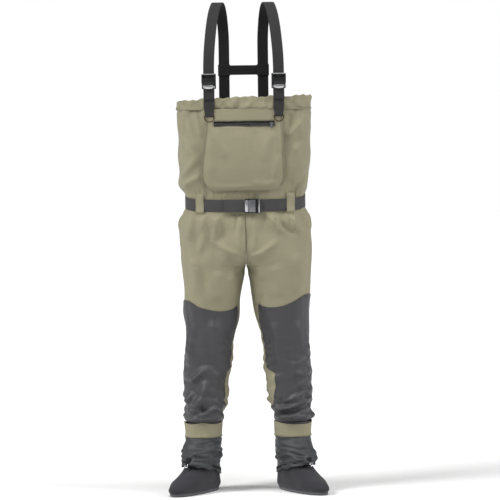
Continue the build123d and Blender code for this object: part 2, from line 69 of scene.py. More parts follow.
# Right half of the trousers: height, inner and outer x, front, back, squareness and turn.
TROUSER = [
    (1040, -206, 206, -104, 124, 3.4, 2.4, 0), (1012, -204, 204, -104, 126, 3.3, 2.4, 0),
    (975, -222, 222, -107, 138, 3.2, 2.4, 0), (940, -228, 228, -113, 148, 3.0, 2.4, 0),
    (900, -229, 229, -117, 154, 2.8, 2.4, 0), (860, -150, 230, -119, 156, 2.6, 2.4, 0),
    (825, -52, 228, -117, 152, 2.5, 2.3, 0), (795, -4, 225, -112, 144, 2.4, 2.3, 0),
    (757, 7, 222, -104, 132, 2.3, 2.2, 0), (687, 16, 221, -92, 112, 2.2, 2.2, 0),
    (617, 26, 218, -84, 98, 2.2, 2.2, 0), (547, 40, 214, -79, 87, 2.2, 2.2, 0),
    (477, 54, 213, -75, 88, 2.2, 2.2, 0), (407, 63, 219, -66, 98, 2.2, 2.2, 0),
    (337, 74, 219, -58, 97, 2.2, 2.2, 0), (272, 96, 211, -44, 82, 2.1, 2.1, 4),
    (232, 103, 208, -38, 75, 2.1, 2.1, 14), (178, 107, 207, -33, 71, 2.1, 2.1, 32),
]
# Sock and gaiter in the foot's frame: height, middle ahead of the ankle, half length, half width.
SOCK = [
    (6, 62, 136, 45), (20, 62, 143, 51), (40, 55, 133, 51), (58, 37, 112, 49), (76, 22, 93, 46),
    (96, 10, 76, 44), (120, 3, 64, 44), (150, 0, 56, 47), (178, 0, 52, 50),
]
GAITER = [
    (45, 22, 114, 64), (62, 24, 106, 61), (92, 20, 94, 60), (127, 14, 80, 60), (162, 6, 70, 61),
    (197, 0, 63, 60), (246, 0, 66, 61),
]
# How far the chest pocket stands off the bib.
BULGE = [
    (1036, 9), (1056, 11), (1090, 15), (1130, 16.5), (1200, 16.5), (1240, 12), (1266, 6),
    (1282, 3.8), (1310, 3), (1345, 2.8),
]
FOOT_X, FOOT_Y, FOOT_YAW = 157, 19, radians(32)
HEM_TOP, HEM_SEAM, WAIST, CROTCH = 1380, 1337, 1012, 797
BODY_MID = 12
# Points round one outline.
DENSE = 720
# The body's side, as a share of its roundness, and the girth that its gathers are spread over.
GATHER_SQUASH, GATHER_REACH = 1.7, 210


# ---- property groups -----------------------------------------------------------------------------
def linear(code):
    """Linear colour of an sRGB hex value."""
    channels = [int(code[i:i + 2], 16) / 255 for i in (0, 2, 4)]
    return tuple(c / 12.92 if c <= 0.04045 else ((c + 0.055) / 1.055) ** 2.4 for c in channels)


def length(name, description, default):
    return FloatProperty(name=name, description=description, default=default, unit="LENGTH",
                         subtype="DISTANCE")


def colour(name, description, code):
    return FloatVectorProperty(name=name, description=description, default=linear(code),
                               subtype="COLOR", min=0, max=1)


class WadersSizes(bpy.types.PropertyGroup):
    """Thicknesses and widths of the waders' cloth and webbing."""
    cloth: length("Shell cloth", "Thickness of the laminated shell cloth", 0.0009)
    overlay: length("Overlay cloth", "Thickness of the knee overlay", 0.0008)
    neoprene: length("Neoprene", "Thickness of the sock", 0.0035)
    webbing: length("Brace webbing", "Width of the brace webbing", 0.038)
    webbing_thick: length("Webbing thickness", "Thickness of the brace webbing", 0.0016)
    belt: length("Belt width", "Width of the wading belt", 0.042)
    belt_thick: length("Belt thickness", "Thickness of the wading belt", 0.0018)
    stitch: length("Stitch length", "Length of one stitch", 0.0028)
    fold: FloatProperty(name="Fold depth", description="How deep the cloth's folds are",
                        default=1.6, subtype="FACTOR", min=0, max=2)


class WadersColours(bpy.types.PropertyGroup):
    """Colours of the waders' cloths, webbing and fittings."""
    shell: colour("Shell", "Olive shell cloth", "88836A")
    slate: colour("Overlay", "Slate overlay cloth", "343437")
    gaiter: colour("Gaiter", "Gaiter cloth", "2A2C2F")
    sock: colour("Sock", "Neoprene sock", "222228")
    sole: colour("Sole", "Sock sole and toe edge", "4A4B50")
    # Front webbing lighter, back webbing near-black: two webbings, with the back's near-black
    # partly painted shade for the half of the brace turned away from the light.
    webbing: colour("Front webbing", "Brace webbing in front", "1C1C1D")
    elastic: colour("Back webbing", "Elastic webbing behind", "080809")
    belt: colour("Belt", "Belt webbing", "2F2E2E")
    zip: colour("Zip", "Coated zip tape", "090807")
    plastic: colour("Buckle", "Moulded buckle frame", "0F0F10")
    # Bright silver of the buckle lips and bars: a painted highlight on their lit edges.
    metal: colour("Metal", "Satin metal of levers and bars", "C9CACC")
    floor: colour("Floor", "Studio floor", "F4F4F4")


def sizes():
    return bpy.context.scene.waders_sizes


def colours():
    return bpy.context.scene.waders_colours


# ---- surfaces ------------------------------------------------------------------------------------
def hermite(t, step, starts, ends, start_slopes, end_slopes):
    """Values at a share t of a step, between two rows of values with their slopes."""
    rise = t * t * (3 - 2 * t)
    bend = step * ((t ** 3 - 2 * t * t + t) * start_slopes + (t ** 3 - t * t) * end_slopes)
    return (1 - rise) * starts + rise * ends + bend


def section(table, z):
    """Row of a section table at a height, on a smooth curve through its rows."""
    rows = np.array(sorted(table), float)
    heights, values = rows[:, 0], rows[:, 1:]
    slopes = np.gradient(values, heights, axis=0)
    z = min(max(z, heights[0]), heights[-1])
    i = min(max(int(np.searchsorted(heights, z)) - 1, 0), len(heights) - 2)
    step = heights[i + 1] - heights[i]
    t = (z - heights[i]) / step
    return hermite(t, step, values[i], values[i + 1], slopes[i], slopes[i + 1])


def outline(cx, cy, hx, hy, n_front, n_back, yaw, start):
    """Closed rounded-box outline, from the start angle once round."""
    angle = start + np.linspace(0, tau, DENSE + 1)
    c, s = np.cos(angle), np.sin(angle)
    n = np.where(s < 0, n_front, n_back)
    x = hx * np.sign(c) * np.abs(c) ** (2 / n)
    y = hy * np.sign(s) * np.abs(s) ** (2 / n)
    return np.stack([cx + x * cos(yaw) - y * sin(yaw), cy + x * sin(yaw) + y * cos(yaw)], axis=1)


def torso_ring(z):
    half, front, back, n_front, n_back = section(TORSO, z)
    return outline(0, (front + back) / 2, half, (back - front) / 2, n_front, n_back, 0, -pi / 2)


def leg_ring(z):
    """Right leg, from its inner line round the front, the outer side and the back."""
    x_in, x_out, front, back, n_front, n_back, yaw = section(TROUSER, z)
    ring = outline((x_in + x_out) / 2, (front + back) / 2, (x_out - x_in) / 2, (back - front) / 2,
                   n_front, n_back, radians(yaw), pi)
    if ring[:, 0].min() >= 0:
        return ring
    inside = np.flatnonzero(ring[:, 0] >= 0)
    kept = ring[inside[0]:inside[-1] + 1]
    ends = []
    for a, b in ((inside[0] - 1, inside[0]), (inside[-1], inside[-1] + 1)):
        t = ring[a, 0] / (ring[a, 0] - ring[b, 0])
        ends.append(ring[a] + (ring[b] - ring[a]) * t)
    return np.vstack([ends[0], kept, ends[1]])


def foot_ring(table):
    """Foot outline, from the heel round the outer side and the toe."""
    def ring(z):
        ahead, half_length, half_width = section(table, z)
        x, y = FOOT_X + ahead * sin(FOOT_YAW), FOOT_Y - ahead * cos(FOOT_YAW)
        return outline(x, y, half_width, half_length, 2.2, 2.2, FOOT_YAW, pi / 2)
    return ring


def ahead_of_ankle(points):
    """How far towards the toe the points lie, along the foot."""
    return (points[..., 0] - FOOT_X) * sin(FOOT_YAW) - (points[..., 1] - FOOT_Y) * cos(FOOT_YAW)


class Surface:
    """A surface that can be read at any height and any share of the way round."""

    def __init__(self, ring, low, high, step=3.0, count=600):
        self.low, self.step, self.count = low, step, count
        self.heights = np.arange(low, high + step, step)
        shares = np.linspace(0, 1, count + 1)
        points, normals, self.girths = [], [], []
        for z in self.heights:
            line = ring(z)
            run = np.concatenate([[0], np.cumsum(np.hypot(*np.diff(line, axis=0).T) + 1e-9)])
            place = shares * run[-1]
            spot = np.stack([np.interp(place, run, line[:, k]) for k in (0, 1)], axis=1)
            along = np.gradient(spot, axis=0)
            if np.allclose(spot[0], spot[-1]):
                along[0] = along[-1] = along[0] + along[-1]
            normal = np.stack([along[:, 1], -along[:, 0]], axis=1)
            points.append(spot)
            normals.append(normal / np.linalg.norm(normal, axis=1, keepdims=True))
            self.girths.append(run[-1])
        self.points, self.normals = np.array(points), np.array(normals)

    def at(self, z, share):
        """Points and outward normals at heights and shares, both arrays of one shape."""
        z, share = np.broadcast_arrays(np.asarray(z, float), np.asarray(share, float))
        row = np.clip((z - self.low) / self.step, 0, len(self.heights) - 1.001)
        column = (share - np.floor(share)) * self.count
        column = np.where(share == 1.0, self.count - 1e-6, column)
        i, j = row.astype(int), np.minimum(column.astype(int), self.count - 1)
        a, b = (row - i)[..., None], (column - j)[..., None]
        found = []
        for table in (self.points, self.normals):
            low = table[i, j] * (1 - b) + table[i, j + 1] * b
            high = table[i + 1, j] * (1 - b) + table[i + 1, j + 1] * b
            found.append(low * (1 - a) + high * a)
        spots = np.concatenate([found[0], z[..., None]], axis=-1)
        flat = found[1] / np.linalg.norm(found[1], axis=-1, keepdims=True)
        return spots, np.concatenate([flat, np.zeros_like(z)[..., None]], axis=-1)

    def row(self, z):
        """Index of the row nearest a height."""
        return int(np.clip(round((z - self.low) / self.step), 0, len(self.heights) - 1))

    def girth(self, z):
        return self.girths[self.row(z)]

    def front_share(self, z, x):
        """Share of the way round where the surface's front is at that x."""
        z, x = np.broadcast_arrays(np.asarray(z, float), np.asarray(x, float))
        found = np.empty(z.shape)
        for spot in np.ndindex(z.shape):
            i = self.row(z[spot])
            reach = int(np.argmax(self.points[i, :, 0]))
            found[spot] = np.interp(x[spot], self.points[i, :reach + 1, 0],
                                    np.linspace(0, reach / self.count, reach + 1))
        return found

    def side_share(self, z, y, low=0.0, high=0.5):
        """Share between two shares where the surface is at that depth, going back."""
        i = self.row(z)
        a, b = int(low * self.count), int(high * self.count)
        return np.interp(y, self.points[i, a:b + 1, 1], np.linspace(low, high, b - a + 1))


# ---- folds ---------------------------------------------------------------------------------------
def drift(points, size, seed, stretch=(1, 1, 1)):
    """Smooth irregular field, mostly -1 to 1, with lumps of about that size in millimetres."""
    rng = np.random.default_rng(seed)
    waves = rng.normal(size=(14, 3))
    waves *= (rng.uniform(0.6, 1.5, size=14) / np.linalg.norm(waves, axis=1))[:, None] * pi / size
    phase = rng.uniform(0, tau, 14)
    return np.sin((points / np.array(stretch)) @ waves.T + phase).sum(axis=-1) / 3.2


def ease(value, start, end):
    """0 at start, 1 at end, smooth between."""
    t = np.clip((value - start) / (end - start), 0, 1)
    return t * t * (3 - 2 * t)


def creases(points, normals, lines):
    """Height of listed folds. A line is its (x, z) points, its width and its height."""
    total = np.zeros(points.shape[:-1])
    flat = points[..., [0, 2]]
    for path, width, height in lines:
        runs = [np.hypot(b[0] - a[0], b[1] - a[1]) for a, b in zip(path, path[1:])]
        whole, done = sum(runs), 0.0
        best = np.full(total.shape, 1e9)
        share = np.zeros(total.shape)
        for a, b, run in zip(path, path[1:], runs):
            a, b = np.array(a, float), np.array(b, float)
            t = np.clip(((flat - a) @ (b - a)) / run ** 2, 0, 1)
            away = np.linalg.norm(flat - (a + t[..., None] * (b - a)), axis=-1)
            closer = away < best
            best = np.where(closer, away, best)
            share = np.where(closer, (done + t * run) / whole, share)
            done += run
        taper = np.clip(np.sin(pi * share) * 1.6 + 0.15, 0, 1)
        total += height * taper * np.exp(-(best / width) ** 2)
    return total * ease(-normals[..., 1], 0.05, 0.55)


# Each fold is its line of (x, z) points, its width and its height. The legs' lines are on the
# +X side, keyed by the side that they belong to.
BIB_FOLDS = [
    ([(-212, 1358), (-196, 1290), (-180, 1235), (-160, 1186)], 13, 5.5),
    ([(-218, 1250), (-196, 1205), (-166, 1160)], 12, 4.0),
    ([(-214, 1100), (-190, 1135), (-160, 1172)], 12, 4.5),
    ([(-205, 1068), (-180, 1092), (-152, 1106)], 9, 3.5),
    ([(-170, 1330), (-160, 1285), (-150, 1235)], 9, 3.0),
    ([(-198, 1330), (-206, 1240), (-204, 1160)], 10, -3.0),
    ([(222, 1318), (190, 1285), (164, 1258), (146, 1236)], 13, 5.5),
    ([(219, 1240), (192, 1212), (164, 1186)], 11, 3.5),
    ([(212, 1160), (190, 1112), (164, 1074)], 12, 5.0),
    ([(216, 1110), (200, 1080), (182, 1056)], 9, 3.5),
    ([(160, 1325), (157, 1280), (152, 1240)], 9, -3.0),
    ([(186, 1330), (182, 1290), (200, 1250)], 9, 2.5),
]
POCKET_FOLDS = [
    ([(-104, 1270), (-88, 1225), (-60, 1165)], 14, 2.6),
    ([(-125, 1236), (-112, 1180), (-106, 1120)], 12, 2.4),
    ([(96, 1262), (72, 1205), (66, 1150)], 16, 2.4),
    ([(-30, 1262), (-8, 1215), (6, 1150)], 20, 1.8),
    ([(44, 1262), (34, 1225), (40, 1190)], 12, -1.6),
    ([(-120, 1072), (-60, 1064), (20, 1070)], 9, 2.0),
    ([(118, 1085), (70, 1076), (20, 1084)], 9, 1.6),
    ([(118, 1180), (108, 1130), (96, 1092)], 12, 2.0),
]
LEG_FOLDS = {
    1: [
        ([(70, 1000), (96, 950), (130, 905)], 12, 3.4),
        ([(118, 945), (146, 920), (172, 900)], 9, -3.0),
        ([(14, 960), (30, 900), (22, 838)], 10, 2.4),
        ([(150, 990), (168, 950), (190, 900)], 12, 3.0),
        ([(10, 822), (52, 838), (110, 880)], 10, 3.0),
        ([(10, 806), (44, 790), (60, 740)], 10, 2.8),
        ([(60, 700), (36, 660), (34, 600)], 10, -2.2),
        ([(176, 840), (182, 760), (178, 690)], 20, 3.0),
        ([(96, 800), (110, 740), (104, 680)], 22, 3.0),
        ([(172, 600), (176, 540), (196, 480)], 14, 3.6),
        ([(96, 600), (104, 520), (112, 440)], 22, 3.5),
        ([(208, 470), (180, 452), (150, 446)], 10, 3.6),
        ([(212, 430), (186, 412), (160, 418)], 9, 3.4),
        ([(215, 396), (190, 384), (168, 372)], 9, 4.0),
        ([(214, 356), (192, 350), (176, 336)], 8, 5.0),
        ([(106, 292), (140, 296), (180, 312), (212, 326)], 9, 6.5),
        ([(112, 268), (150, 268), (190, 284), (210, 300)], 8, 5.5),
        ([(120, 318), (146, 326), (176, 344)], 9, 4.0),
        ([(104, 330), (112, 300), (128, 280)], 9, 3.5),
        ([(150, 252), (180, 262), (206, 270)], 7, 4.5),
    ],
    -1: [
        ([(153, 990), (152, 956), (140, 904), (164, 835)], 13, 4.2),
        ([(104, 1000), (102, 925), (116, 870)], 12, 3.4),
        ([(60, 985), (74, 930), (78, 880)], 12, -2.0),
        ([(12, 950), (26, 900), (16, 840)], 10, 2.2),
        ([(186, 980), (190, 930), (198, 880)], 12, 3.2),
        ([(10, 826), (60, 848), (120, 882)], 10, 2.6),
        ([(12, 806), (46, 776), (60, 730)], 10, 2.8),
        ([(176, 830), (170, 760), (178, 690)], 20, 3.0),
        ([(96, 780), (110, 720), (100, 670)], 22, 3.0),
        ([(120, 610), (118, 540), (112, 470)], 20, 3.6),
        ([(186, 600), (192, 540), (196, 470)], 14, 3.4),
        ([(196, 390), (172, 412), (146, 438)], 10, 5.5),
        ([(141, 396), (158, 340), (183, 280)], 13, 6.0),
        ([(200, 350), (196, 310), (190, 276)], 10, 4.0),
        ([(166, 272), (146, 284), (112, 304)], 8, 6.0),
        ([(150, 256), (124, 262), (98, 272)], 7, 6.0),
        ([(188, 262), (166, 254), (140, 262)], 7, 4.0),
        ([(120, 330), (106, 312), (98, 290)], 9, 4.0),
        ([(150, 440), (120, 420), (96, 400)], 12, 3.0),
    ],
}
GAITER_FOLDS = {
    1: [
        ([(96, 172), (140, 164), (176, 158), (214, 170)], 7, 3.0),
        ([(120, 150), (160, 146), (205, 128), (222, 118)], 6, 4.5),
        ([(98, 128), (140, 134), (180, 118), (216, 98)], 7, 6.5),
        ([(98, 104), (130, 108), (166, 112), (204, 124), (222, 138)], 6, 6.0),
        ([(104, 88), (150, 92), (190, 88)], 6, 5.0),
        ([(196, 112), (212, 106), (224, 112)], 5, 5.0),
    ],
    -1: [
        ([(210, 184), (180, 176), (140, 180)], 7, 2.6),
        ([(214, 150), (176, 146), (140, 152), (104, 146)], 7, 3.4),
        ([(222, 122), (186, 138), (140, 130), (100, 112)], 7, 6.5),
        ([(222, 106), (186, 104), (140, 94), (104, 84)], 6, 6.5),
        ([(218, 92), (190, 120), (150, 116), (110, 128)], 6, 5.0),
        ([(200, 90), (170, 84), (130, 78)], 6, 4.5),
    ],
}

# The belt's height at the body's middle, its fall towards the front, and its gap from the body.
BELT_MID, BELT_FALL, BELT_GAP = 1022, 0.16, 5.0


def belt_z(y):
    """Height of the belt's middle at a depth: it falls towards the front."""
    return BELT_MID + BELT_FALL * (y - BODY_MID)


def under_belt(points, lift):
    """Keeps the cloth under the belt's inner face."""
    away = np.abs(points[..., 2] - belt_z(points[..., 1]))
    return np.minimum(lift, 2.6 + 30 * ease(away, 28, 70))


def upright_gathers(points, climb, size, seed):
    """Field of gathers that run up the cloth, at points of the torso or a leg."""
    turn = np.arctan2(points[..., 0] / GATHER_SQUASH, -(points[..., 1] - BODY_MID))
    unrolled = np.stack([turn * GATHER_REACH, points[..., 2] * climb, turn * 0], axis=-1)
    return drift(unrolled, size, seed)


def bib_height(points, normals):
    """How far the bib's cloth stands out, at points of the torso."""
    z = points[..., 2]
    gathers = upright_gathers(points, 0.12, 13, 5)
    low, high = 1 - ease(z, 1020, 1095), ease(z, 1285, 1345)
    total = 1.6 * drift(points, 75, 2) + 2.6 * np.abs(gathers) * low + 1.3 * gathers * high
    total += 1.1 * drift(points, 34, 8, (1, 1, 2.6)) * ease(np.abs(points[..., 0]), 120, 160)
    total += 1.8 * np.abs(drift(points, 40, 12, (1.6, 1.6, 0.8))) * ease(normals[..., 1], -0.2, 0.4)
    total += 1.5 * creases(points, normals, BIB_FOLDS)
    total -= 1.2 * np.exp(-((z - HEM_SEAM + 3) / 3.5) ** 2)
    blouse = np.exp(-((z - 1080) / 30) ** 2) * ease(np.abs(points[..., 0]), 120, 200)
    total += blouse * np.where(points[..., 0] < 0, 8.0, -1.0)
    return under_belt(points, total * sizes().fold)


def leg_height(side):
    """How far a leg's cloth stands out; the points are on the +X side for either leg."""
    def height(points, normals):
        z = points[..., 2]
        gathers = upright_gathers(points, 0.10, 15, 20 + side)
        total = 2.4 * np.abs(gathers) * ease(z, 905, 945) * (1 - ease(z, 955, 980))
        total += 1.7 * drift(points, 80, 30 + side) + 0.9 * drift(points, 26, 33 + side, (1, 1, 4))
        knees = ease(z, 600, 470) * (1 - ease(z, 300, 262) * 0.5)
        total += 2.2 * np.abs(drift(points, 30, 40 + side, (2.2, 2.2, 0.8))) * knees
        ankle = ease(z, 400, 300)
        total += 3.6 * np.abs(drift(points, 22, 50 + side, (2.6, 2.6, 0.8))) * ankle
        behind = ease(normals[..., 1], 0, 0.5)
        total += 2.0 * np.abs(drift(points, 40, 60 + side, (1.4, 1.4, 1))) * behind
        total += 1.7 * creases(points, normals, LEG_FOLDS[side])
        if side > 0:
            total -= 8 * np.exp(-((z - 545) / 95) ** 2) * ease(-normals[..., 0], 0.1, 0.9)
        total *= ease(z, 240, 260)
        seam = np.exp(-(points[..., 0] / 2.6) ** 2) * ease(z, 780, 800)
        calm = 1 - 0.6 * np.exp(-(points[..., 0] / 14) ** 2)
        return under_belt(points, total * sizes().fold * calm) - 1.6 * seam
    return height


def gaiter_height(side):
    """How far a gaiter's cloth stands out; the points are on the +X side for either gaiter."""
    def height(points, normals):
        z = points[..., 2]
        low = 1 - ease(z, 120, 190)
        total = 0.9 * drift(points, 14, 70 + side, (3, 3, 0.7)) + 0.8 * drift(points, 40, 71 + side)
        total += 3.0 * np.abs(drift(points, 18, 80 + side, (3.4, 3.4, 0.8))) * low
        total += creases(points, normals, GAITER_FOLDS[side])
        total *= 0.25 + 0.75 * ease(z, 84, 122)
        total -= 5.0 * ease(z, 150, 90)
        return (total * (1 - ease(z, 183, 194)) + 0.5) * sizes().fold
    return height


# ---- meshes --------------------------------------------------------------------------------------
def box_mm(node):
    """Low and high corner of a CAD node, in millimetres."""
    return [np.array(corner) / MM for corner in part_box(node)]


def facing(direction, count):
    """One direction, once for each of count points."""
    return np.tile(np.array(direction, float), (count, 1))


def link(name, mesh, material):
    """New object in the scene, with one material or a list of them."""
    piece = bpy.data.objects.new(name, mesh)
    bpy.context.scene.collection.objects.link(piece)
    for one in material if isinstance(material, list) else [material]:
        mesh.materials.append(one)
    return piece


def mend(mesh, weld=0.0):
    """Welds points within weld metres of each other, or else fills holes; turns faces outward."""
    edit = bmesh.new()
    edit.from_mesh(mesh)
    if weld:
        bmesh.ops.remove_doubles(edit, verts=edit.verts, dist=weld)
    else:
        edges = [e for e in edit.edges if e.is_boundary]
        bmesh.ops.holes_fill(edit, edges=edges, sides=0)
    bmesh.ops.recalc_face_normals(edit, faces=edit.faces)
    edit.to_mesh(mesh)
    edit.free()


def grid(name, rows, material, closed=False, thick=0.0, flip=False, smooth=1):
    """Mesh from rows of points in millimetres, with a metre-true UV map and its own thickness."""
    rows = np.asarray(rows, float) * MM
    tall, wide = rows.shape[:2]
    mesh = bpy.data.meshes.new(name)
    spots = rows.reshape(-1, 3)
    columns = wide if closed else wide - 1
    a = (np.arange(tall - 1)[:, None] * wide + np.arange(columns)[None]).ravel()
    b = (np.arange(tall - 1)[:, None] * wide + (np.arange(columns)[None] + 1) % wide).ravel()
    quads = np.stack([a, b, b + wide, a + wide], axis=1)
    if flip:
        quads = quads[:, ::-1]
    mesh.from_pydata(spots.tolist(), [], quads.tolist())
    steps = np.linalg.norm(np.diff(rows, axis=1), axis=2)
    around = np.concatenate([np.zeros((tall, 1)), np.cumsum(steps, axis=1)], axis=1)
    climb = np.linalg.norm(np.diff(rows, axis=0), axis=2)
    up = np.concatenate([np.zeros((1, wide)), np.cumsum(climb, axis=0)], axis=0)
    u, v = around.ravel(), up.ravel()
    span = np.append(steps, np.linalg.norm(rows[:, :1] - rows[:, -1:], axis=2), axis=1).sum(axis=1)
    layer = mesh.uv_layers.new(name="Weave")
    corner = np.array([loop.vertex_index for loop in mesh.loops])
    across = u[corner]
    if closed:
        last = np.repeat(np.arange(len(quads)) % columns == columns - 1, 4)
        wraps = last & (corner % wide == 0)
        across = np.where(wraps, span[corner // wide], across)
    layer.data.foreach_set("uv", np.stack([across, v[corner]], axis=1).ravel())
    mesh.shade_smooth()
    piece = link(name, mesh, material)
    if thick:
        solid = piece.modifiers.new("Thickness", "SOLIDIFY")
        solid.thickness, solid.offset = thick, -1
    if smooth:
        soft = piece.modifiers.new("Smooth", "SUBSURF")
        soft.levels = soft.render_levels = smooth
    return piece


def finish(piece, nodes=(), body=ROOT):
    """Puts a piece on its body and lets it stand for its CAD nodes."""
    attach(piece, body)
    if nodes:
        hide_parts(*([nodes] if isinstance(nodes, str) else nodes))
    return piece


def mirrored(rows, side):
    """The rows, on the -X side where side is -1."""
    rows = np.array(rows, float)
    rows[..., 0] *= side
    return rows


def run_lengths(path):
    """Length along a path, up to each of its points."""
    return np.concatenate([[0], np.cumsum(np.linalg.norm(np.diff(path, axis=0), axis=1))])


def curve_through(points, count):
    """Smooth line through points, as count points at even steps."""
    points = np.asarray(points, float)
    runs = run_lengths(points)
    slopes = np.gradient(points, runs, axis=0)
    t = np.linspace(0, runs[-1], count)
    i = np.clip(np.searchsorted(runs, t, side="right") - 1, 0, len(runs) - 2)
    step = (runs[i + 1] - runs[i])[:, None]
    share = (t - runs[i])[:, None] / step
    return hermite(share, step, points[i], points[i + 1], slopes[i], slopes[i + 1])


def webbing(name, path, across, width, thick, material, closed=False):
    """Flat woven strip along a path, with rounded selvedges. Widths are in millimetres."""
    path, across = np.asarray(path, float), np.asarray(across, float)
    across = across / np.linalg.norm(across, axis=1, keepdims=True)
    ahead = np.gradient(path, axis=0)
    if closed:
        ahead = np.roll(path, -1, axis=0) - np.roll(path, 1, axis=0)
    normal = np.cross(across, ahead)
    normal /= np.linalg.norm(normal, axis=1, keepdims=True)
    width = np.broadcast_to(np.asarray(width, float), (len(path),))[:, None] / 2
    half = thick / 2
    rim = [(-1, 0.35), (-0.97, 0.9), (-0.9, 1), (-0.45, 0.93), (0, 1), (0.45, 0.93), (0.9, 1),
           (0.97, 0.9), (1, 0.35)]
    rim += [(a, -b) for a, b in reversed(rim)]
    rows = np.stack([path + across * width * a + normal * half * b for a, b in rim], axis=1)
    if closed:
        rows = np.vstack([rows, rows[:1]])
    piece = grid(name, rows, material, closed=True, smooth=0)
    mend(piece.data, 1e-6 if closed else 0.0)
    piece.data.shade_smooth()
    return piece


def read_along(runs, rows, place):
    """Row at a place along a path whose rows lie at those run lengths."""
    return np.array([np.interp(place, runs, rows[:, k]) for k in range(3)])


def stitches(name, paths, lift, material, thread=0.55):
    """Rows of raised stitches along paths of points and normals, in millimetres."""
    mesh = bpy.data.meshes.new(name)
    verts, faces = [], []
    size = sizes().stitch / MM
    for path, normals in paths:
        path, normals = np.asarray(path, float), np.asarray(normals, float)
        runs = run_lengths(path)
        for start in np.arange(size * 0.3, runs[-1] - size, size * 1.35):
            spots = [read_along(runs, path, start + size * t) for t in (0, 0.5, 1)]
            out = read_along(runs, normals, start)
            side = np.cross(out, spots[2] - spots[0])
            side *= thread / max(np.linalg.norm(side), 1e-9)
            base = len(verts)
            verts += [spots[0] + out * (lift - 0.3), spots[1] + side + out * lift,
                      spots[1] - side + out * lift, spots[1] + out * (lift + thread),
                      spots[1] - out * 0.3, spots[2] + out * (lift - 0.3)]
            for a, b in ((1, 3), (3, 2), (2, 4), (4, 1)):
                faces += [(base, base + a, base + b), (base + 5, base + b, base + a)]
    mesh.from_pydata((np.array(verts) * MM).tolist(), [], faces)
    mesh.shade_smooth()
    return finish(link(name, mesh, material))


# ---- materials -----------------------------------------------------------------------------------
def wire(tree, node, inputs):
    """Sets a node's inputs to values, or links them to sockets."""
    for key, value in inputs.items():
        if isinstance(value, bpy.types.NodeSocket):
            tree.links.new(value, node.inputs[key])
        else:
            node.inputs[key].default_value = value


def add(tree, kind, inputs=None, **settings):
    """A node with its settings and its inputs."""
    node = tree.nodes.new(kind)
    for key, value in settings.items():
        setattr(node, key, value)
    wire(tree, node, inputs or {})
    return node


def bump(tree, height, depth, **inputs):
    """Normals of a height field that many millimetres deep."""
    node = add(tree, "ShaderNodeBump", {"Height": height, "Distance": depth * MM, "Strength": 1.0,
                                        **inputs})
    return node.outputs["Normal"]


def blank(name):
    """New material, its node tree and its shader."""
    material = bpy.data.materials.new(name)
    material.use_nodes = True
    tree = material.node_tree
    return material, tree, tree.nodes["Principled BSDF"]


def shade(rgb, factor):
    return (*[min(c * factor, 1.0) for c in rgb], 1.0)


def wave_scale(pitch):
    """Scale of a band texture whose bands lie pitch millimetres apart."""
    return tau / 20 / (pitch * MM)


def cloth(name, rgb, rough, pitch, mottle, lump, weave_depth, grain_depth, sheen):
    """Woven cloth: warp and weft at its thread pitch, crumple grain, and uneven tone."""
    material, tree, shader = blank(name)
    uv = add(tree, "ShaderNodeUVMap", uv_map="Weave").outputs["UV"]
    place = add(tree, "ShaderNodeTexCoord").outputs["Object"]
    warp, weft = [add(tree, "ShaderNodeTexWave", {"Vector": uv, "Scale": wave_scale(pitch)},
                      bands_direction=way) for way in "XY"]
    weave = add(tree, "ShaderNodeMath", {0: warp.outputs["Fac"], 1: weft.outputs["Fac"]},
                operation="MULTIPLY")
    tone = add(tree, "ShaderNodeTexNoise",
               {"Vector": place, "Scale": 1 / (lump * MM), "Detail": 4.0, "Roughness": 0.6})
    fine = add(tree, "ShaderNodeTexNoise",
               {"Vector": place, "Scale": 1 / (lump * 0.12 * MM), "Detail": 3.0})
    blend = add(tree, "ShaderNodeMix",
                {"Factor": tone.outputs["Fac"], "A": shade(rgb, 1 - mottle),
                 "B": shade(rgb, 1 + mottle)}, data_type="RGBA")
    threads = add(tree, "ShaderNodeMix",
                  {"Factor": weave.outputs[0], "A": shade(rgb, 0.86), "B": shade(rgb, 1.05)},
                  data_type="RGBA")
    both = add(tree, "ShaderNodeMix", {"Factor": 0.35, "A": blend.outputs["Result"],
                                       "B": threads.outputs["Result"]}, data_type="RGBA")
    crumple = bump(tree, fine.outputs["Fac"], grain_depth)
    knit = bump(tree, weave.outputs[0], weave_depth, Normal=crumple)
    dull = add(tree, "ShaderNodeMapRange", {"Value": tone.outputs["Fac"], "To Min": rough - 0.05,
                                            "To Max": rough + 0.05})
    wire(tree, shader, {"Base Color": both.outputs["Result"], "Roughness": dull.outputs["Result"],
                        "Normal": knit, "IOR": 1.53, "Sheen Weight": sheen, "Sheen Roughness": 0.5})
    return material


def solid(name, rgb, rough, metallic, grain, depth, ior=None, coat=0.0, stretch=(1, 1, 1)):
    """Moulded or metal part: a fine grain in its height and roughness, stretched where brushed."""
    material, tree, shader = blank(name)
    place = add(tree, "ShaderNodeTexCoord").outputs["Object"]
    turn = add(tree, "ShaderNodeMapping", {"Vector": place, "Scale": stretch})
    noise = add(tree, "ShaderNodeTexNoise",
                {"Vector": turn.outputs["Vector"], "Scale": 1 / (grain * MM), "Detail": 3.0})
    tone = add(tree, "ShaderNodeMix",
               {"Factor": noise.outputs["Fac"], "A": shade(rgb, 0.9), "B": shade(rgb, 1.08)},
               data_type="RGBA")
    dull = add(tree, "ShaderNodeMapRange", {"Value": noise.outputs["Fac"], "To Min": rough * 0.85,
                                            "To Max": rough * 1.15})
    wire(tree, shader, {"Base Color": tone.outputs["Result"], "Roughness": dull.outputs["Result"],
                        "Normal": bump(tree, noise.outputs["Fac"], depth), "Metallic": metallic,
                        "Coat Weight": coat})
    if ior:
        shader.inputs["IOR"].default_value = ior
    return material


FINISHES = {}


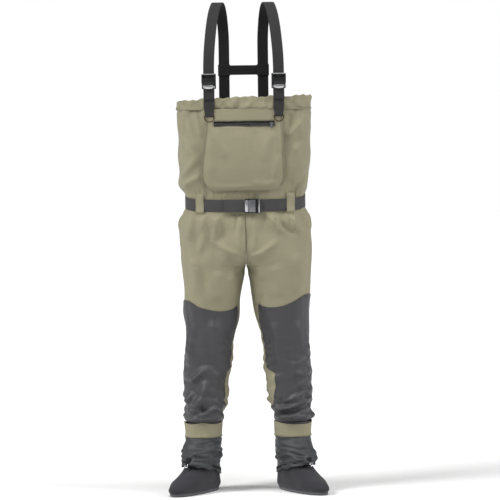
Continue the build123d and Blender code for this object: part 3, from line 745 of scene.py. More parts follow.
def make_finishes():
    """Every material of the waders, named for what it is.

    A cloth's numbers are its roughness, thread pitch, mottle, lump size, weave depth, crumple
    depth and sheen. A solid's are its roughness, metalness, grain size and grain depth, then its
    index of refraction and its coat. Sizes are in millimetres.
    """
    c = colours()
    # Three-layer waterproof nylon: a matte plain weave whose threads, 0.4 mm apart, are drawn at
    # 1.4 mm so that they show, with the soft unevenness of a laminate.
    FINISHES["shell"] = cloth("Laminated nylon, olive", c.shell,
                              0.78, 1.4, 0.05, 34, 0.12, 0.5, 0.05)
    # Denser abrasion cloth on the shins: smoother threads, so it catches a little more light.
    FINISHES["slate"] = cloth("Abrasion nylon, slate", c.slate,
                              0.52, 1.6, 0.10, 26, 0.14, 0.7, 0.03)
    FINISHES["gaiter"] = cloth("Crinkled nylon, slate", c.gaiter,
                               0.52, 1.6, 0.13, 20, 0.14, 1.1, 0.03)
    # Jersey-faced neoprene: a closed foam with a knitted face, fuzzy and without shine.
    FINISHES["sock"] = cloth("Jersey-faced neoprene, blue-black", c.sock,
                             0.88, 1.2, 0.12, 12, 0.2, 0.5, 0.08)
    FINISHES["sole"] = cloth("Dense neoprene, grey", c.sole,
                             0.72, 1.8, 0.14, 16, 0.15, 0.5, 0.15)
    # Polyester webbing: a herringbone of thick yarns, so it has ribs 2.2 mm apart and a dull face.
    FINISHES["webbing"] = cloth("Polyester webbing, charcoal", c.webbing,
                                0.80, 2.2, 0.10, 18, 0.35, 0.3, 0.02)
    FINISHES["elastic"] = cloth("Elastic webbing, black", c.elastic,
                                0.95, 2.4, 0.10, 18, 0.4, 0.3, 0.0)
    FINISHES["belt"] = cloth("Nylon belt webbing, charcoal", c.belt,
                             0.56, 2.4, 0.10, 22, 0.4, 0.3, 0.05)
    # Heat-bonded tape inside the centre seam: a thin smooth film over tricot.
    FINISHES["tape"] = cloth("Seam tape, grey", linear("6A6B6E"),
                             0.45, 1.0, 0.05, 20, 0.08, 0.2, 0.0)
    FINISHES["lining"] = cloth("Tricot lining, grey", linear("77756A"),
                               0.85, 1.0, 0.06, 24, 0.1, 0.4, 0.3)
    # Spun polyester thread, a tone darker than the cloth it holds. The olive thread's dark tone is
    # partly painted shade: it stands for the shade along the sewn seams as well as the thread's own
    # colour.
    FINISHES["thread"] = cloth("Sewing thread, olive, with painted seam shade", linear("4E4B39"),
                               0.7, 0.8, 0.1, 6, 0.1, 0.1, 0.1)
    FINISHES["dark_thread"] = cloth("Sewing thread, grey", linear("4C4C50"),
                                    0.7, 0.8, 0.1, 6, 0.1, 0.1, 0.1)
    # Polyurethane film on the zip tape: smooth and glossy, with broad waves from sewing.
    FINISHES["zip"] = solid("Polyurethane-coated zip tape", c.zip, 0.24, 0.0, 16, 2.4, 1.5, 0.4)
    # Acetal, injection moulded: a fine spark-eroded grain and a soft shine.
    FINISHES["plastic"] = solid("Moulded acetal, black", c.plastic, 0.38, 0.0, 0.8, 0.05, 1.48)
    # Bright silver for the buckles' lever lips and frame bars: painted highlight on the edges that
    # catch the light, drawn as pressed, bead-blasted aluminium with a broad highlight.
    FINISHES["metal"] = solid("Painted highlight silver", c.metal, 0.30, 1.0, 1.0, 0.04)
    FINISHES["grey_metal"] = solid("Grey anodised aluminium", linear("7D7F83"),
                                   0.42, 1.0, 1.0, 0.04)
    FINISHES["steel"] = solid("Drawn stainless steel", linear("D2D3D6"), 0.2, 1.0, 0.5, 0.02)
    FINISHES["ring"] = solid("Bronze-plated steel", linear("5A4E3E"), 0.35, 1.0, 0.6, 0.03)
    # Sprayed board: even and matte.
    FINISHES["floor"] = solid("Painted floor, off-white", c.floor, 0.85, 0.0, 9, 0.1, 1.45)


# ---- the surfaces that the cloth follows ---------------------------------------------------------
TORSO_SURFACE = Surface(torso_ring, 960, 1400)
LEG_SURFACE = Surface(leg_ring, 172, 1030)
SOCK_SURFACE = Surface(foot_ring(SOCK), 6, 178, 2.0)
GAITER_SURFACE = Surface(foot_ring(GAITER), 43, 248, 2.0)


def dressed(surface, z, share, height, offset=0.0):
    """Points on the surface with its folds, moved out by offset."""
    spots, normals = surface.at(z, share)
    lift = height(spots, normals) + offset
    return spots + normals * np.asarray(lift)[..., None], normals


def spread(low, high, step):
    return np.linspace(low, high, int(abs(high - low) / step) + 2)


class Piece:
    """What the operators share: their place in the panel and their result."""
    bl_options = {"REGISTER", "UNDO"}

    def execute(self, context):
        self.build()
        return {"FINISHED"}


class WADERS_OT_finishes(Piece, bpy.types.Operator):
    """Makes the cloth, webbing, plastic and metal finishes"""
    bl_idname = "waders.finishes"
    bl_label = "Finishes"

    def build(self):
        make_finishes()
        by_node = {
            "plastic": ["shoulder_buckle_frame_left", "shoulder_buckle_frame_right",
                        "shoulder_buckle_lever_left", "shoulder_buckle_lever_right",
                        "belt_buckle_frame", "zip_stops"],
            "steel": ["shoulder_buckle_pin_left", "shoulder_buckle_pin_right",
                      "shoulder_buckle_spring_left", "shoulder_buckle_spring_right",
                      "belt_buckle_pin", "belt_buckle_spring",
                      "gaiter_hook_left", "gaiter_hook_right"],
            "grey_metal": ["belt_buckle_lever", "zip_slider", "zip_pull"],
            "ring": ["d_ring_left", "d_ring_right"],
        }
        for finish_name, nodes in by_node.items():
            for node in nodes:
                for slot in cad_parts[node].material_slots:
                    slot.material = FINISHES[finish_name]


class WADERS_OT_bib(Piece, bpy.types.Operator):
    """Makes the front and back of the bib, with their side seams"""
    bl_idname = "waders.bib"
    bl_label = "Bib"

    def build(self):
        z = spread(1004, HEM_SEAM + 2, 6)
        side = np.array([TORSO_SURFACE.side_share(h, BODY_MID) for h in z])[:, None]
        t = np.linspace(0, 1, 110)[None]
        for name, share in (("bib_front", -side + 2 * side * t),
                            ("bib_back", side + (1 - 2 * side) * t)):
            height, share = np.broadcast_arrays(z[:, None], share)
            rows, _ = dressed(TORSO_SURFACE, height, share, bib_height)
            piece = grid(name, rows, FINISHES["shell"], thick=sizes().cloth)
            finish(piece, name + "_panel")
        paths = []
        for sign in (1, -1):
            spots, normals = dressed(TORSO_SURFACE, z, sign * side[:, 0], bib_height)
            for shift in (-3.0, 3.0):
                paths.append((spots + np.array([0, shift, 0]), normals))
        stitches("side_seam_stitches", paths, 0.5, FINISHES["thread"])


# The length round the hem before it is gathered, and its cross-section: share of its height, then
# how far out, up the outer face and down the inner one.
HEM_CUT = 1250
HEM_PROFILE = [
    (0.0, 0.9), (0.02, 1.7), (0.05, 1.9), (0.09, 1.2), (0.14, 1.9), (0.3, 2.4), (0.5, 3.0),
    (0.7, 2.6), (0.88, 3.0), (0.96, 2.4), (1.0, 0.6), (0.985, -1.6), (0.9, -3.0), (0.6, -3.2),
    (0.3, -3.2), (0.0, -3.0),
]


class WADERS_OT_hem(Piece, bpy.types.Operator):
    """Makes the gathered casing round the top of the bib, and the elastic in it"""
    bl_idname = "waders.hem"
    bl_label = "Hem"

    @staticmethod
    def gathered(share, z, rise):
        """Points and normals at heights z, and the gathers' lift; rise is 0 to 1 up the hem."""
        base, normal = TORSO_SURFACE.at(z, share)
        unrolled = np.stack([share * HEM_CUT, z * 0.55, share * 0], axis=-1)
        lift = ease(rise, 0, 0.2) * 2.6 * drift(unrolled, 15, 92)
        lift = lift + bib_height(base, normal) * ease(z, 1358, 1340)
        lift = lift + 1.8 * drift(base, 17, 94, (1, 1, 0.8)) * ease(rise, 0.02, 0.25)
        return base, normal, lift

    def build(self):
        share = np.linspace(0, 1, 361)[:-1]
        spots, _ = TORSO_SURFACE.at(np.full(share.shape, HEM_TOP), share)
        lean = np.interp(spots[:, 0], [-230, -150, 0, 150, 231], [-12, -4, 0, 2, 6])
        edge = np.stack([share * TORSO_SURFACE.girth(HEM_TOP), share * 0, share * 0], axis=-1)
        top = HEM_TOP + lean + 2.2 * drift(edge, 14, 91)
        rows = []
        for rise, out in HEM_PROFILE:
            z = HEM_SEAM - 1 + (top - HEM_SEAM) * rise
            base, normal, lift = self.gathered(share, z, rise)
            lift = lift + out
            lift = np.maximum(lift, 0.5) if out > 0.6 else np.minimum(lift, -2.2)
            rows.append(base + normal * lift[:, None])
        piece = grid("hem", rows, FINISHES["shell"], closed=True)
        finish(piece, "hem_casing")
        base, normal = TORSO_SURFACE.at(np.full(share.shape, (HEM_SEAM + HEM_TOP) / 2), share)
        band = webbing("hem_elastic_band", base - normal * 0.9, facing((0, 0, 1), len(base)),
                       20, 0.7, FINISHES["elastic"], closed=True)
        finish(band, "hem_elastic")
        paths = []
        for z in (HEM_SEAM + 2.5, HEM_SEAM + 6.5):
            rise = (z - HEM_SEAM + 1) / (top - HEM_SEAM)
            base, normal, lift = self.gathered(share, np.full(share.shape, z), rise)
            paths.append((base + normal * (lift + 2.0)[:, None], normal))
        stitches("hem_stitches", paths, 0.3, FINISHES["thread"])


class WADERS_OT_trousers(Piece, bpy.types.Operator):
    """Makes both trouser legs from the waist to the sock, and their seam tape"""
    bl_idname = "waders.trousers"
    bl_label = "Trousers"

    def build(self):
        z = np.concatenate([spread(182, 740, 6), spread(746, 860, 3.5), spread(866, WAIST + 4, 6)])
        share = np.linspace(0, 1, 141)
        height, shares = np.meshgrid(z, share, indexing="ij")
        for side, word in SIDES:
            rows, _ = dressed(LEG_SURFACE, height, shares, leg_height(side))
            for end, away in ((0, shares * 900), (-1, (1 - shares) * 900)):
                gap = np.where(z > CROTCH, rows[:, end, 0] + 0.2, 0)[:, None]
                rows[..., 0] -= gap * np.exp(-away / 14)
            rows[..., 0] = np.maximum(rows[..., 0], -0.2)
            piece = grid(f"waders_leg_{word}", mirrored(rows, side), FINISHES["shell"],
                         thick=sizes().cloth, flip=side < 0)
            finish(piece, f"trouser_{word}")
        tape_z = spread(838, WAIST - 4, 8)
        for name, end in (("front", 0.002), ("back", 0.998)):
            spots, _ = dressed(LEG_SURFACE, tape_z, np.full(tape_z.shape, end), leg_height(1), -3.2)
            rows = [np.stack([np.full(len(spots), x), spots[:, 1], spots[:, 2]], axis=1)
                    for x in (-10, 0, 10)]
            piece = grid(f"seam_tape_{name}", np.stack(rows, axis=1), FINISHES["tape"],
                         thick=0.0004)
            finish(piece, "centre_seam_tape")
        paths = []
        for side in (1, -1):
            down = spread(WAIST - 6, 800, 6)
            spots, _ = dressed(LEG_SURFACE, down, np.full(down.shape, 0.0), leg_height(side))
            spots[:, 0] = 4.2
            spots[:, 1] -= 0.9
            paths.append((mirrored(spots, side), facing((0, -1, 0), len(spots))))
        stitches("centre_seam_stitches", paths, 0.3, FINISHES["thread"])


# The overlay's inner edge, as height and x.
OVERLAY_EDGE = {
    1: [(690, 33), (653, 35), (596, 38), (520, 53), (436, 68), (418, 100), (363, 101), (318, 95),
        (283, 100), (240, 106)],
    -1: [(690, 24), (640, 31), (560, 41), (480, 61), (410, 74), (340, 83), (272, 100), (240, 106)],
}
# Height of the overlay's top edge, from the inner corner to the outer side.
OVERLAY_TOP = {
    1: [(0, 645), (0.05, 660), (0.18, 653), (0.4, 649), (0.62, 655), (0.82, 669), (1, 686),
        (1.7, 690)],
    -1: [(0, 636), (0.05, 653), (0.18, 643), (0.42, 637), (0.66, 643), (0.86, 654), (1, 668),
         (1.7, 672)],
}


# Share of the overlay's width that lies in front of the leg's side.
OVERLAY_FRONT = 0.62


class WADERS_OT_overlays(Piece, bpy.types.Operator):
    """Makes the dark knee and shin overlays, with their curved edges and stitching"""
    bl_idname = "waders.overlays"
    bl_label = "Knee overlays"

    def build(self):
        t = np.linspace(0, 1, 90)
        v = np.linspace(0, 1, 78)
        for side, word in SIDES:
            heights, edge_x = np.array(sorted(OVERLAY_EDGE[side])).T
            top_line = curve_through([(a * 100, b, 0) for a, b in OVERLAY_TOP[side]], 200)
            rows, normals_out = [], []
            for step in v:
                bottom = 236 + 9 * np.abs(2 * np.clip(t / OVERLAY_FRONT, 0, 1) - 1) ** 2
                top = np.interp(t / OVERLAY_FRONT * 100, top_line[:, 0], top_line[:, 1])
                z = bottom + (top - bottom) * step
                inner = LEG_SURFACE.front_share(z, np.interp(z, heights, edge_x))
                outer = np.array([LEG_SURFACE.side_share(h, BODY_MID + 22, 0.3, 0.75) for h in z])
                share = inner + (outer - inner) * t
                spots, normals = dressed(LEG_SURFACE, z, share, leg_height(side), 2.4)
                sag = 8.0 * ease(z, 290, 264) - 9.5 * ease(z, 251, 242)
                rows.append(spots + normals * sag[:, None])
                normals_out.append(normals)
            rows, normals_out = np.array(rows), np.array(normals_out)
            piece = grid(f"overlay_{word}", mirrored(rows, side), FINISHES["slate"],
                         thick=sizes().overlay, flip=side < 0)
            finish(piece, f"leg_overlay_{word}")
            paths = []
            for inset in (2, 3):
                for line, out in ((rows[-inset, 1:-1], normals_out[-2, 1:-1]),
                                  (rows[2:-2, inset - 1], normals_out[2:-2, 1]),
                                  (rows[2:-2, -inset], normals_out[2:-2, -2])):
                    paths.append((mirrored(line, side), mirrored(out, side)))
            stitches(f"overlay_stitches_{word}", paths, 0.5, FINISHES["dark_thread"])


class WADERS_OT_gaiters(Piece, bpy.types.Operator):
    """Makes the gaiters, the olive band round each one's top, and the elastic in each hem"""
    bl_idname = "waders.gaiters"
    bl_label = "Gaiters"

    def build(self):
        share = np.linspace(0, 1, 145)[:-1]
        base, _ = GAITER_SURFACE.at(np.full(share.shape, 75.0), share)
        ahead = ahead_of_ankle(base)
        hem = 78 + (ahead - 24) * 0.20 - 6 * ease(ahead, -40, -75)
        for side, word in SIDES:
            flutter = 2.2 * drift(base, 26, 96 + side)
            v = np.linspace(0, 1, 62)[:, None]
            z = (hem + flutter)[None] * (1 - v) + 244 * v
            grown = np.broadcast_to(share[None], z.shape)
            rows, _ = dressed(GAITER_SURFACE, z, grown, gaiter_height(side))
            piece = grid(f"gaiter_sleeve_{word}", mirrored(rows, side), FINISHES["gaiter"],
                         closed=True, thick=sizes().overlay, flip=side < 0)
            finish(piece, f"gaiter_{word}")
            rows = []
            front = -(base[:, 1] - FOOT_Y) / 110
            for rise in np.linspace(0, 1, 14):
                low = 191 + 1.5 * front
                high = 246 - 5 * np.clip(front, 0, 1) + 3 * drift(base, 60, 98 + side)
                z = low + (high - low) * rise
                spots, normals = GAITER_SURFACE.at(z, share)
                lift = 2.6 + 0.7 * drift(spots, 34, 99 + side)
                lift += 0.5 * (rise > 0.97) - 0.5 * (rise < 0.03)
                rows.append(spots + normals * lift[:, None])
            piece = grid(f"gaiter_cuff_{word}", mirrored(rows, side), FINISHES["shell"],
                         closed=True, thick=0.0012, flip=side < 0)
            finish(piece, f"gaiter_band_{word}")
            spots, normals = GAITER_SURFACE.at(hem + 12, share)
            band = webbing(f"gaiter_elastic_band_{word}", mirrored(spots - normals * 5.0, side),
                           facing((0, 0, 1), len(spots)), 10, 1.0, FINISHES["elastic"], closed=True)
            finish(band, f"gaiter_elastic_{word}")
            paths = []
            for z in (193.5, 196.0):
                spots, normals = GAITER_SURFACE.at(np.full(share.shape, z), share)
                paths.append((mirrored(spots + normals * 2.8, side), mirrored(normals, side)))
            stitches(f"cuff_stitches_{word}", paths, 0.6, FINISHES["thread"])


# The sole's cross-section: share of the outline's width, then height.
SOLE_PROFILE = [
    (0.0, 0.0), (0.5, 0.0), (0.9, 0.0), (0.975, 0.6), (1.0, 3.0), (1.012, 7.5), (1.004, 12.0),
    (0.985, 13.4), (0.96, 12.4), (0.93, 6.4), (0.5, 6.0), (0.0, 6.0),
]


class WADERS_OT_socks(Piece, bpy.types.Operator):
    """Makes the neoprene socks, their soles and their glued seams"""
    bl_idname = "waders.socks"
    bl_label = "Socks"

    def build(self):
        share = np.linspace(0, 1, 121)[:-1]
        for side, word in SIDES:
            z = np.concatenate([spread(3.5, 60, 3), spread(64, 178, 6)])
            height, shares = np.meshgrid(z, share, indexing="ij")
            spots, normals = SOCK_SURFACE.at(np.maximum(height, 6), shares)
            spots[..., 2] = height
            along = ahead_of_ankle(spots)
            lift = 1.1 * drift(spots, 34, 110 + side) * ease(height, 10, 40)
            lift += 1.3 * np.exp(-((along - 96 - 0.35 * height) / 2.2) ** 2) * ease(height, 18, 30)
            lift -= 2.5 * ease(height, 18, 4) + 0.8 * np.exp(-((height - 17) / 1.8) ** 2)
            wrinkles = np.abs(drift(spots, 12, 112 + side, (2.4, 2.4, 0.8)))
            lift += 1.2 * wrinkles * ease(height, 56, 96)
            rows = mirrored(spots + normals * lift[..., None], side)
            piece = grid(f"sock_{word}", rows, FINISHES["sock"], closed=True,
                         thick=sizes().neoprene, flip=side < 0)
            finish(piece, f"sock_upper_{word}")
            rim, _ = SOCK_SURFACE.at(np.full(share.shape, 6.0), share)
            middle = rim.mean(axis=0)
            rings = []
            for scale, z in SOLE_PROFILE:
                ring = middle + (rim - middle) * scale
                ring[:, 2] = z
                rings.append(ring)
            sole = grid(f"sock_sole_pad_{word}", mirrored(np.array(rings), side), FINISHES["sole"],
                        closed=True, flip=side < 0)
            mend(sole.data, 1e-5)
            sole.data.shade_smooth()
            finish(sole, f"sock_sole_{word}")


# Height, and the pocket's half width to its left and its right edge.
POCKET_SIDE = [(1050, 148, 138), (1107, 150, 138), (1160, 147, 136), (1210, 140, 133),
               (1262, 133, 131), (1345, 130, 129)]
POCKET_LOW, POCKET_CORNER = 1051, 52.0
# Cross-section of a zip lip: share of its height from the chain, then how far out.
ZIP_LIP = [(1.0, 0.2), (0.97, 0.9), (0.85, 1.2), (0.5, 1.7), (0.2, 1.9), (0.05, 1.5), (0.015, 0.6),
           (0.015, -0.6), (1.0, -0.6)]
# The zip's slot in the pocket: its middle x and z, half length and half width.
SLOT = (-1, 1285.6, 106, 9)


class WADERS_OT_pocket(Piece, bpy.types.Operator):
    """Makes the chest pocket, its lining, its coated zip and the stitching round it"""
    bl_idname = "waders.pocket"
    bl_label = "Chest pocket"

    @staticmethod
    def half_width(z, right):
        heights, left_edge, right_edge = np.array(POCKET_SIDE).T
        edge = np.where(right, np.interp(z, heights, right_edge), np.interp(z, heights, left_edge))
        drop = np.clip(POCKET_LOW + POCKET_CORNER - z, 0, POCKET_CORNER) / POCKET_CORNER
        return edge - 1.3 * POCKET_CORNER * (1 - np.sqrt(np.maximum(1 - drop ** 2, 0)))

    def skin(self, z, t, offset):
        """Points of the pocket's face; t runs from -1 to 1 across it."""
        x = self.half_width(z, t > 0) * t
        share = TORSO_SURFACE.front_share(z, np.abs(x)) * np.where(x < 0, -1, 1)
        spots, normals = TORSO_SURFACE.at(z, share)
        heights, stand = np.array(BULGE).T
        bulge = np.interp(z, heights, stand)
        closed = 1 - 0.5 * ease(np.abs(t), 0.80, 1.0) * ease(z, 1290, 1240)
        sewn = ease(z, POCKET_LOW, POCKET_LOW + 20)
        lift = bulge * 0.55 * closed * (0.1 + 0.9 * sewn) + 4.2 + offset
        lift = lift + 7.0 * ease(t, 0.86, 1.0) * np.exp(-((z - 1235) / 52) ** 4)
        lift = lift + 1.8 * creases(spots, normals, POCKET_FOLDS) * ease(z, 1300, 1262)
        lift = lift + 0.9 * drift(spots, 60, 120)
        beneath = bib_height(spots, normals) * (1 - ease(1 - np.abs(t), 0.0, 0.12))
        return spots + normals * (lift + np.maximum(beneath, 0) * 0.6)[..., None], normals

    def build(self):
        z = np.concatenate([[POCKET_LOW + 0.2, POCKET_LOW + 1.5],
                            spread(POCKET_LOW + 4, HEM_SEAM + 1, 4.5)])
        t = np.linspace(-1, 1, 90)
        height, across = np.meshgrid(z, t, indexing="ij")
        rows, _ = self.skin(height, across, 0.0)
        slot = ((np.abs(rows[..., 0] - SLOT[0]) < SLOT[2])
                & (np.abs(rows[..., 2] - SLOT[1]) < SLOT[3]))
        rows[..., 1] += np.where(slot, 2.2, 0)
        piece = grid("chest_pocket", rows, FINISHES["shell"], thick=0.0016)
        finish(piece, "chest_pocket_panel")
        height, across = np.meshgrid(spread(1070, 1258, 8), np.linspace(-0.82, 0.82, 40),
                                     indexing="ij")
        inner, _ = self.skin(height, across, -4.5)
        lining = grid("pocket_lining_sheet", inner, FINISHES["lining"], thick=0.0006)
        finish(lining, "pocket_lining")
        paths = []
        for inset in (2.5, 6):
            for sign in (-1, 1):
                z = spread(POCKET_LOW + 20, HEM_SEAM - 4, 5)
                edge = sign * (1 - inset / self.half_width(z, sign > 0))
                paths.append(self.skin(z, edge, 1.0))
            x = np.linspace(-0.93, 0.93, 80)
            paths.append(self.skin(np.full(x.shape, POCKET_LOW - 2.0 + inset), x, 1.0))
        # Thick olive stitches draw the pocket's outline; their dark tone is partly painted shade
        # along its seams.
        stitches("pocket_stitches", paths, 0.5, FINISHES["thread"], 1.0)
        self.zip_lips()

    @staticmethod
    def zip_lips():
        """Two coated lips that meet in a closed line, standing for the tapes and the chain."""
        low, high = box_mm("zip_tape_lower")[0], box_mm("zip_tape_upper")[1]
        front = low[1]
        x = np.linspace(low[0], high[0], 90)
        mid, reach = (low[2] + high[2]) / 2, (high[2] - low[2]) / 2
        for sign, node in ((1, "upper"), (-1, "lower")):
            rows = []
            for share, out in ZIP_LIP:
                wave = 0.45 * np.sin(x / 17 + 1.3) * share + 0.3 * np.sin(x / 7.3)
                z = mid + sign * reach * share + 0 * x
                rows.append(np.stack([x, front - out - wave * (out > 0), z], axis=1))
            lip = grid(f"zip_lip_{node}", rows, FINISHES["zip"], flip=sign < 0)
            nodes = [f"zip_tape_{node}"] + (["zip_chain"] if sign > 0 else [])
            finish(lip, nodes)
        paths = []
        for sign in (1, -1):
            line = np.stack([x, 0 * x + front - 0.4, 0 * x + mid + sign * (reach + 2.6)], axis=1)
            paths.append((line, facing((0, -1, 0), len(x))))
        stitches("zip_stitches", paths, 0.3, FINISHES["thread"])


# The brace's x behind, and the depth where its woven front meets its elastic back; behind that
# depth the brace is near-black, partly painted shade for the half turned away from the light.
BRACE_BACK_X, BRACE_JOIN_Y = 69, 20
BACK_ROUTE = [(147, 1341), (147.6, 1400), (147, 1470), (147, 1520), (147, 1562)]
# The brace over the shoulder, as depth and height, and its route through the buckle's frame.
STRAP_ROUTE = [(146, 1596), (137, 1634), (120, 1668), (94, 1694), (60, 1709), (20, 1712),
               (-18, 1703), (-52, 1680), (-82, 1640), (-106, 1585), (-122, 1525)]
BUCKLE_ROUTE = [(-1.1, 44), (-1.1, 14), (-1.1, -10), (-4.4, -21), (-4.9, -30), (-4.7, -46),
                (-4.7, -64)]
BUCKLE_X, BUCKLE_Z, BUCKLE_TURN = 120, 1433, radians(7)
# How far the buckle's pin stands in front of its middle.
PIN_AHEAD = 7


def buckle_origin():
    """The right shoulder buckle's middle, in millimetres, from its pin."""
    low, high = box_mm("shoulder_buckle_pin_right")
    return np.array([BUCKLE_X, (low[1] + high[1]) / 2 + PIN_AHEAD * cos(BUCKLE_TURN), BUCKLE_Z])


def in_buckle(x, y, z):
    """World point of a place in the right shoulder buckle's frame."""
    place = buckle_origin()
    return place + np.array([x * cos(BUCKLE_TURN) - y * sin(BUCKLE_TURN),
                             x * sin(BUCKLE_TURN) + y * cos(BUCKLE_TURN), z])


class WADERS_OT_braces(Piece, bpy.types.Operator):
    """Makes the brace webbing over each shoulder, the back patches and the sliding crosspiece"""
    bl_idname = "waders.braces"
    bl_label = "Braces"

    @staticmethod
    def strap_x(y):
        """The brace's x at a depth: it spreads from the back run to the buckle."""
        if y < BRACE_JOIN_Y:
            return 88 + 32 * ((BRACE_JOIN_Y - y) / 147) ** 1.4
        return BRACE_BACK_X + 19 * ((147 - y) / 127) ** 0.8

    def build(self):
        width, thick = sizes().webbing / MM, sizes().webbing_thick / MM
        route = [(BRACE_BACK_X, y, z) for y, z in BACK_ROUTE]
        route += [(self.strap_x(y), y, z) for y, z in STRAP_ROUTE]
        route += [tuple(in_buckle(0, y, z)) for y, z in BUCKLE_ROUTE]
        path = curve_through(route, 240)
        turn = BUCKLE_TURN * np.clip(-path[:, 1], 0, 122) / 122
        across = np.stack([np.cos(turn), np.sin(turn), np.zeros(len(path))], axis=1)
        for side, word in SIDES:
            flutter = path.copy()
            flutter[:, 1] += 1.2 * drift(path, 70, 130 + side) * ease(path[:, 2], 1460, 1530)
            strap = webbing(f"brace_{word}", mirrored(flutter, side), mirrored(across, side), width,
                            thick, [FINISHES["webbing"], FINISHES["elastic"]])
            # Faces behind the join take the near-black elastic: partly the back webbing's own
            # colour, partly painted shade on the half of the brace turned away from the light.
            for face in strap.data.polygons:
                face.material_index = int(face.center.y > BRACE_JOIN_Y * MM)
            finish(strap, f"shoulder_strap_{word}")
            self.patch(word)
            self.joins(word, side, path, across, width)
        self.crosspiece()

    @staticmethod
    def patch(word):
        """Sewn webbing patch with softened corners, over the end of the strap."""
        low, high = box_mm(f"back_anchor_{word}")
        middle, half = (low + high) / 2, (high - low) / 2
        u = np.linspace(-1, 1, 15)
        rows = []
        for v in np.linspace(-1, 1, 15):
            pinch = 1 - 0.06 * np.clip(abs(v) - 0.8, 0, 1) * 5 * np.clip(np.abs(u) - 0.6, 0, 1)
            x = middle[0] + u * half[0] * pinch
            bow = 0.5 * np.cos(u * pi / 2) + 0.3 * np.sin(u * 5 + v * 3)
            rows.append(np.stack([x, high[1] + bow - 0.6, middle[2] + v * half[2] + 0 * u], axis=1))
        piece = grid(f"anchor_patch_{word}", rows, FINISHES["elastic"], thick=0.0016, flip=True)
        finish(piece, f"back_anchor_{word}")
        corners = np.array([(-1, -1), (1, -1), (1, 1), (-1, 1), (-1, -1), (1, 1)]) * (19.2, 20.0)
        line = []
        for a, b in zip(corners, corners[1:]):
            for x, z in a + (b - a) * np.linspace(0, 1, 8)[:, None]:
                line.append((middle[0] + x, high[1] - 0.2, middle[2] + z))
        stitches(f"anchor_stitches_{word}", [(line, facing((0, 1, 0), len(line)))], 0.4,
                 FINISHES["dark_thread"])

    @staticmethod
    def joins(word, side, path, across, width):
        """Three rows of stitches where the woven front meets the elastic back."""
        i = int(np.argmin(np.abs(path[:, 1] - BRACE_JOIN_Y) + (path[:, 2] < 1650) * 1000))
        ahead = np.gradient(path, axis=0)
        paths = []
        for j in (i - 3, i - 1, i + 1):
            normal = np.cross(across[j], ahead[j])
            normal *= np.sign(normal[2]) / np.linalg.norm(normal)
            line = [path[j] + across[j] * width * t for t in np.linspace(-0.45, 0.45, 12)]
            paths.append((mirrored(line, side), mirrored(facing(normal, 12), side)))
        stitches(f"brace_stitches_{word}", paths, 0.9, FINISHES["dark_thread"])

    @staticmethod
    def crosspiece():
        """The strip between the back straps, and its keeper loops, which slide on them."""
        low, high = box_mm("back_crosspiece")
        z, y = (low[2] + high[2]) / 2, (low[1] + high[1]) / 2
        x = np.linspace(-52, 52, 60)
        path = np.stack([x, y + 0.7 * np.sin(x / 31), z + 0 * x], axis=1)
        strip = webbing("crosspiece_strip", path, facing((0, 0, 1), len(x)), 34, 1.8,
                        FINISHES["elastic"])
        finish(strip, "back_crosspiece", "back_crosspiece")
        for sign, word in SIDES:
            ring = []
            for angle in np.linspace(0, tau, 49)[:-1]:
                c, s = cos(angle), sin(angle)
                ring.append((sign * BRACE_BACK_X + 20.9 * abs(c) ** 0.16 * (1 if c > 0 else -1),
                             y + 2.5 * abs(s) ** 0.5 * (1 if s > 0 else -1), z))
            keeper = webbing(f"keeper_{word}", ring, facing((0, 0, 1), len(ring)), 40, 1.4,
                             FINISHES["elastic"], closed=True)
            finish(keeper, (), "back_crosspiece")


# Outlines of the plate, the bright lip and the bright bar on a shoulder buckle and on the belt
# buckle, in X and Z; the lips and bars are silver as a painted highlight.
PLATE = [(-18.2, -12.8), (18.2, -12.8), (18.2, 9.6), (-18.2, 9.6)]
LIP = [(-17, 3.5), (-18.5, 0), (-17.5, -4), (-11, -7), (0, -8), (11, -7), (17.5, -4), (18.5, 0),
       (17, 3.5), (0, 4.6)]
BAR = [(-20.5, -1.6), (-20.5, 0.6), (-18, 1.4), (18, 1.4), (20.5, 0.6), (20.5, -1.6), (18, -1.3),
       (-18, -1.3)]
BELT_LIP = [(-3.8, -19), (3.6, -20.5), (4.6, -10), (4.8, 0), (4.6, 10), (3.6, 20.5), (-3.8, 19),
            (-5.2, 8), (-5.2, -8)]
BELT_PLATE = [(0, -20.4), (22.4, -20.4), (22.4, 20.4), (0, 20.4)]
BELT_BAR = [(-1.7, -23), (1.7, -23), (2.2, -10), (2.2, 10), (1.7, 23), (-1.7, 23)]
# In a shoulder buckle's frame: depth of its lower bar and of the D-ring, and the bar's height.
TAB_Y, TAB_BAR_Z = 1, -24.7
RING_Z = 1314


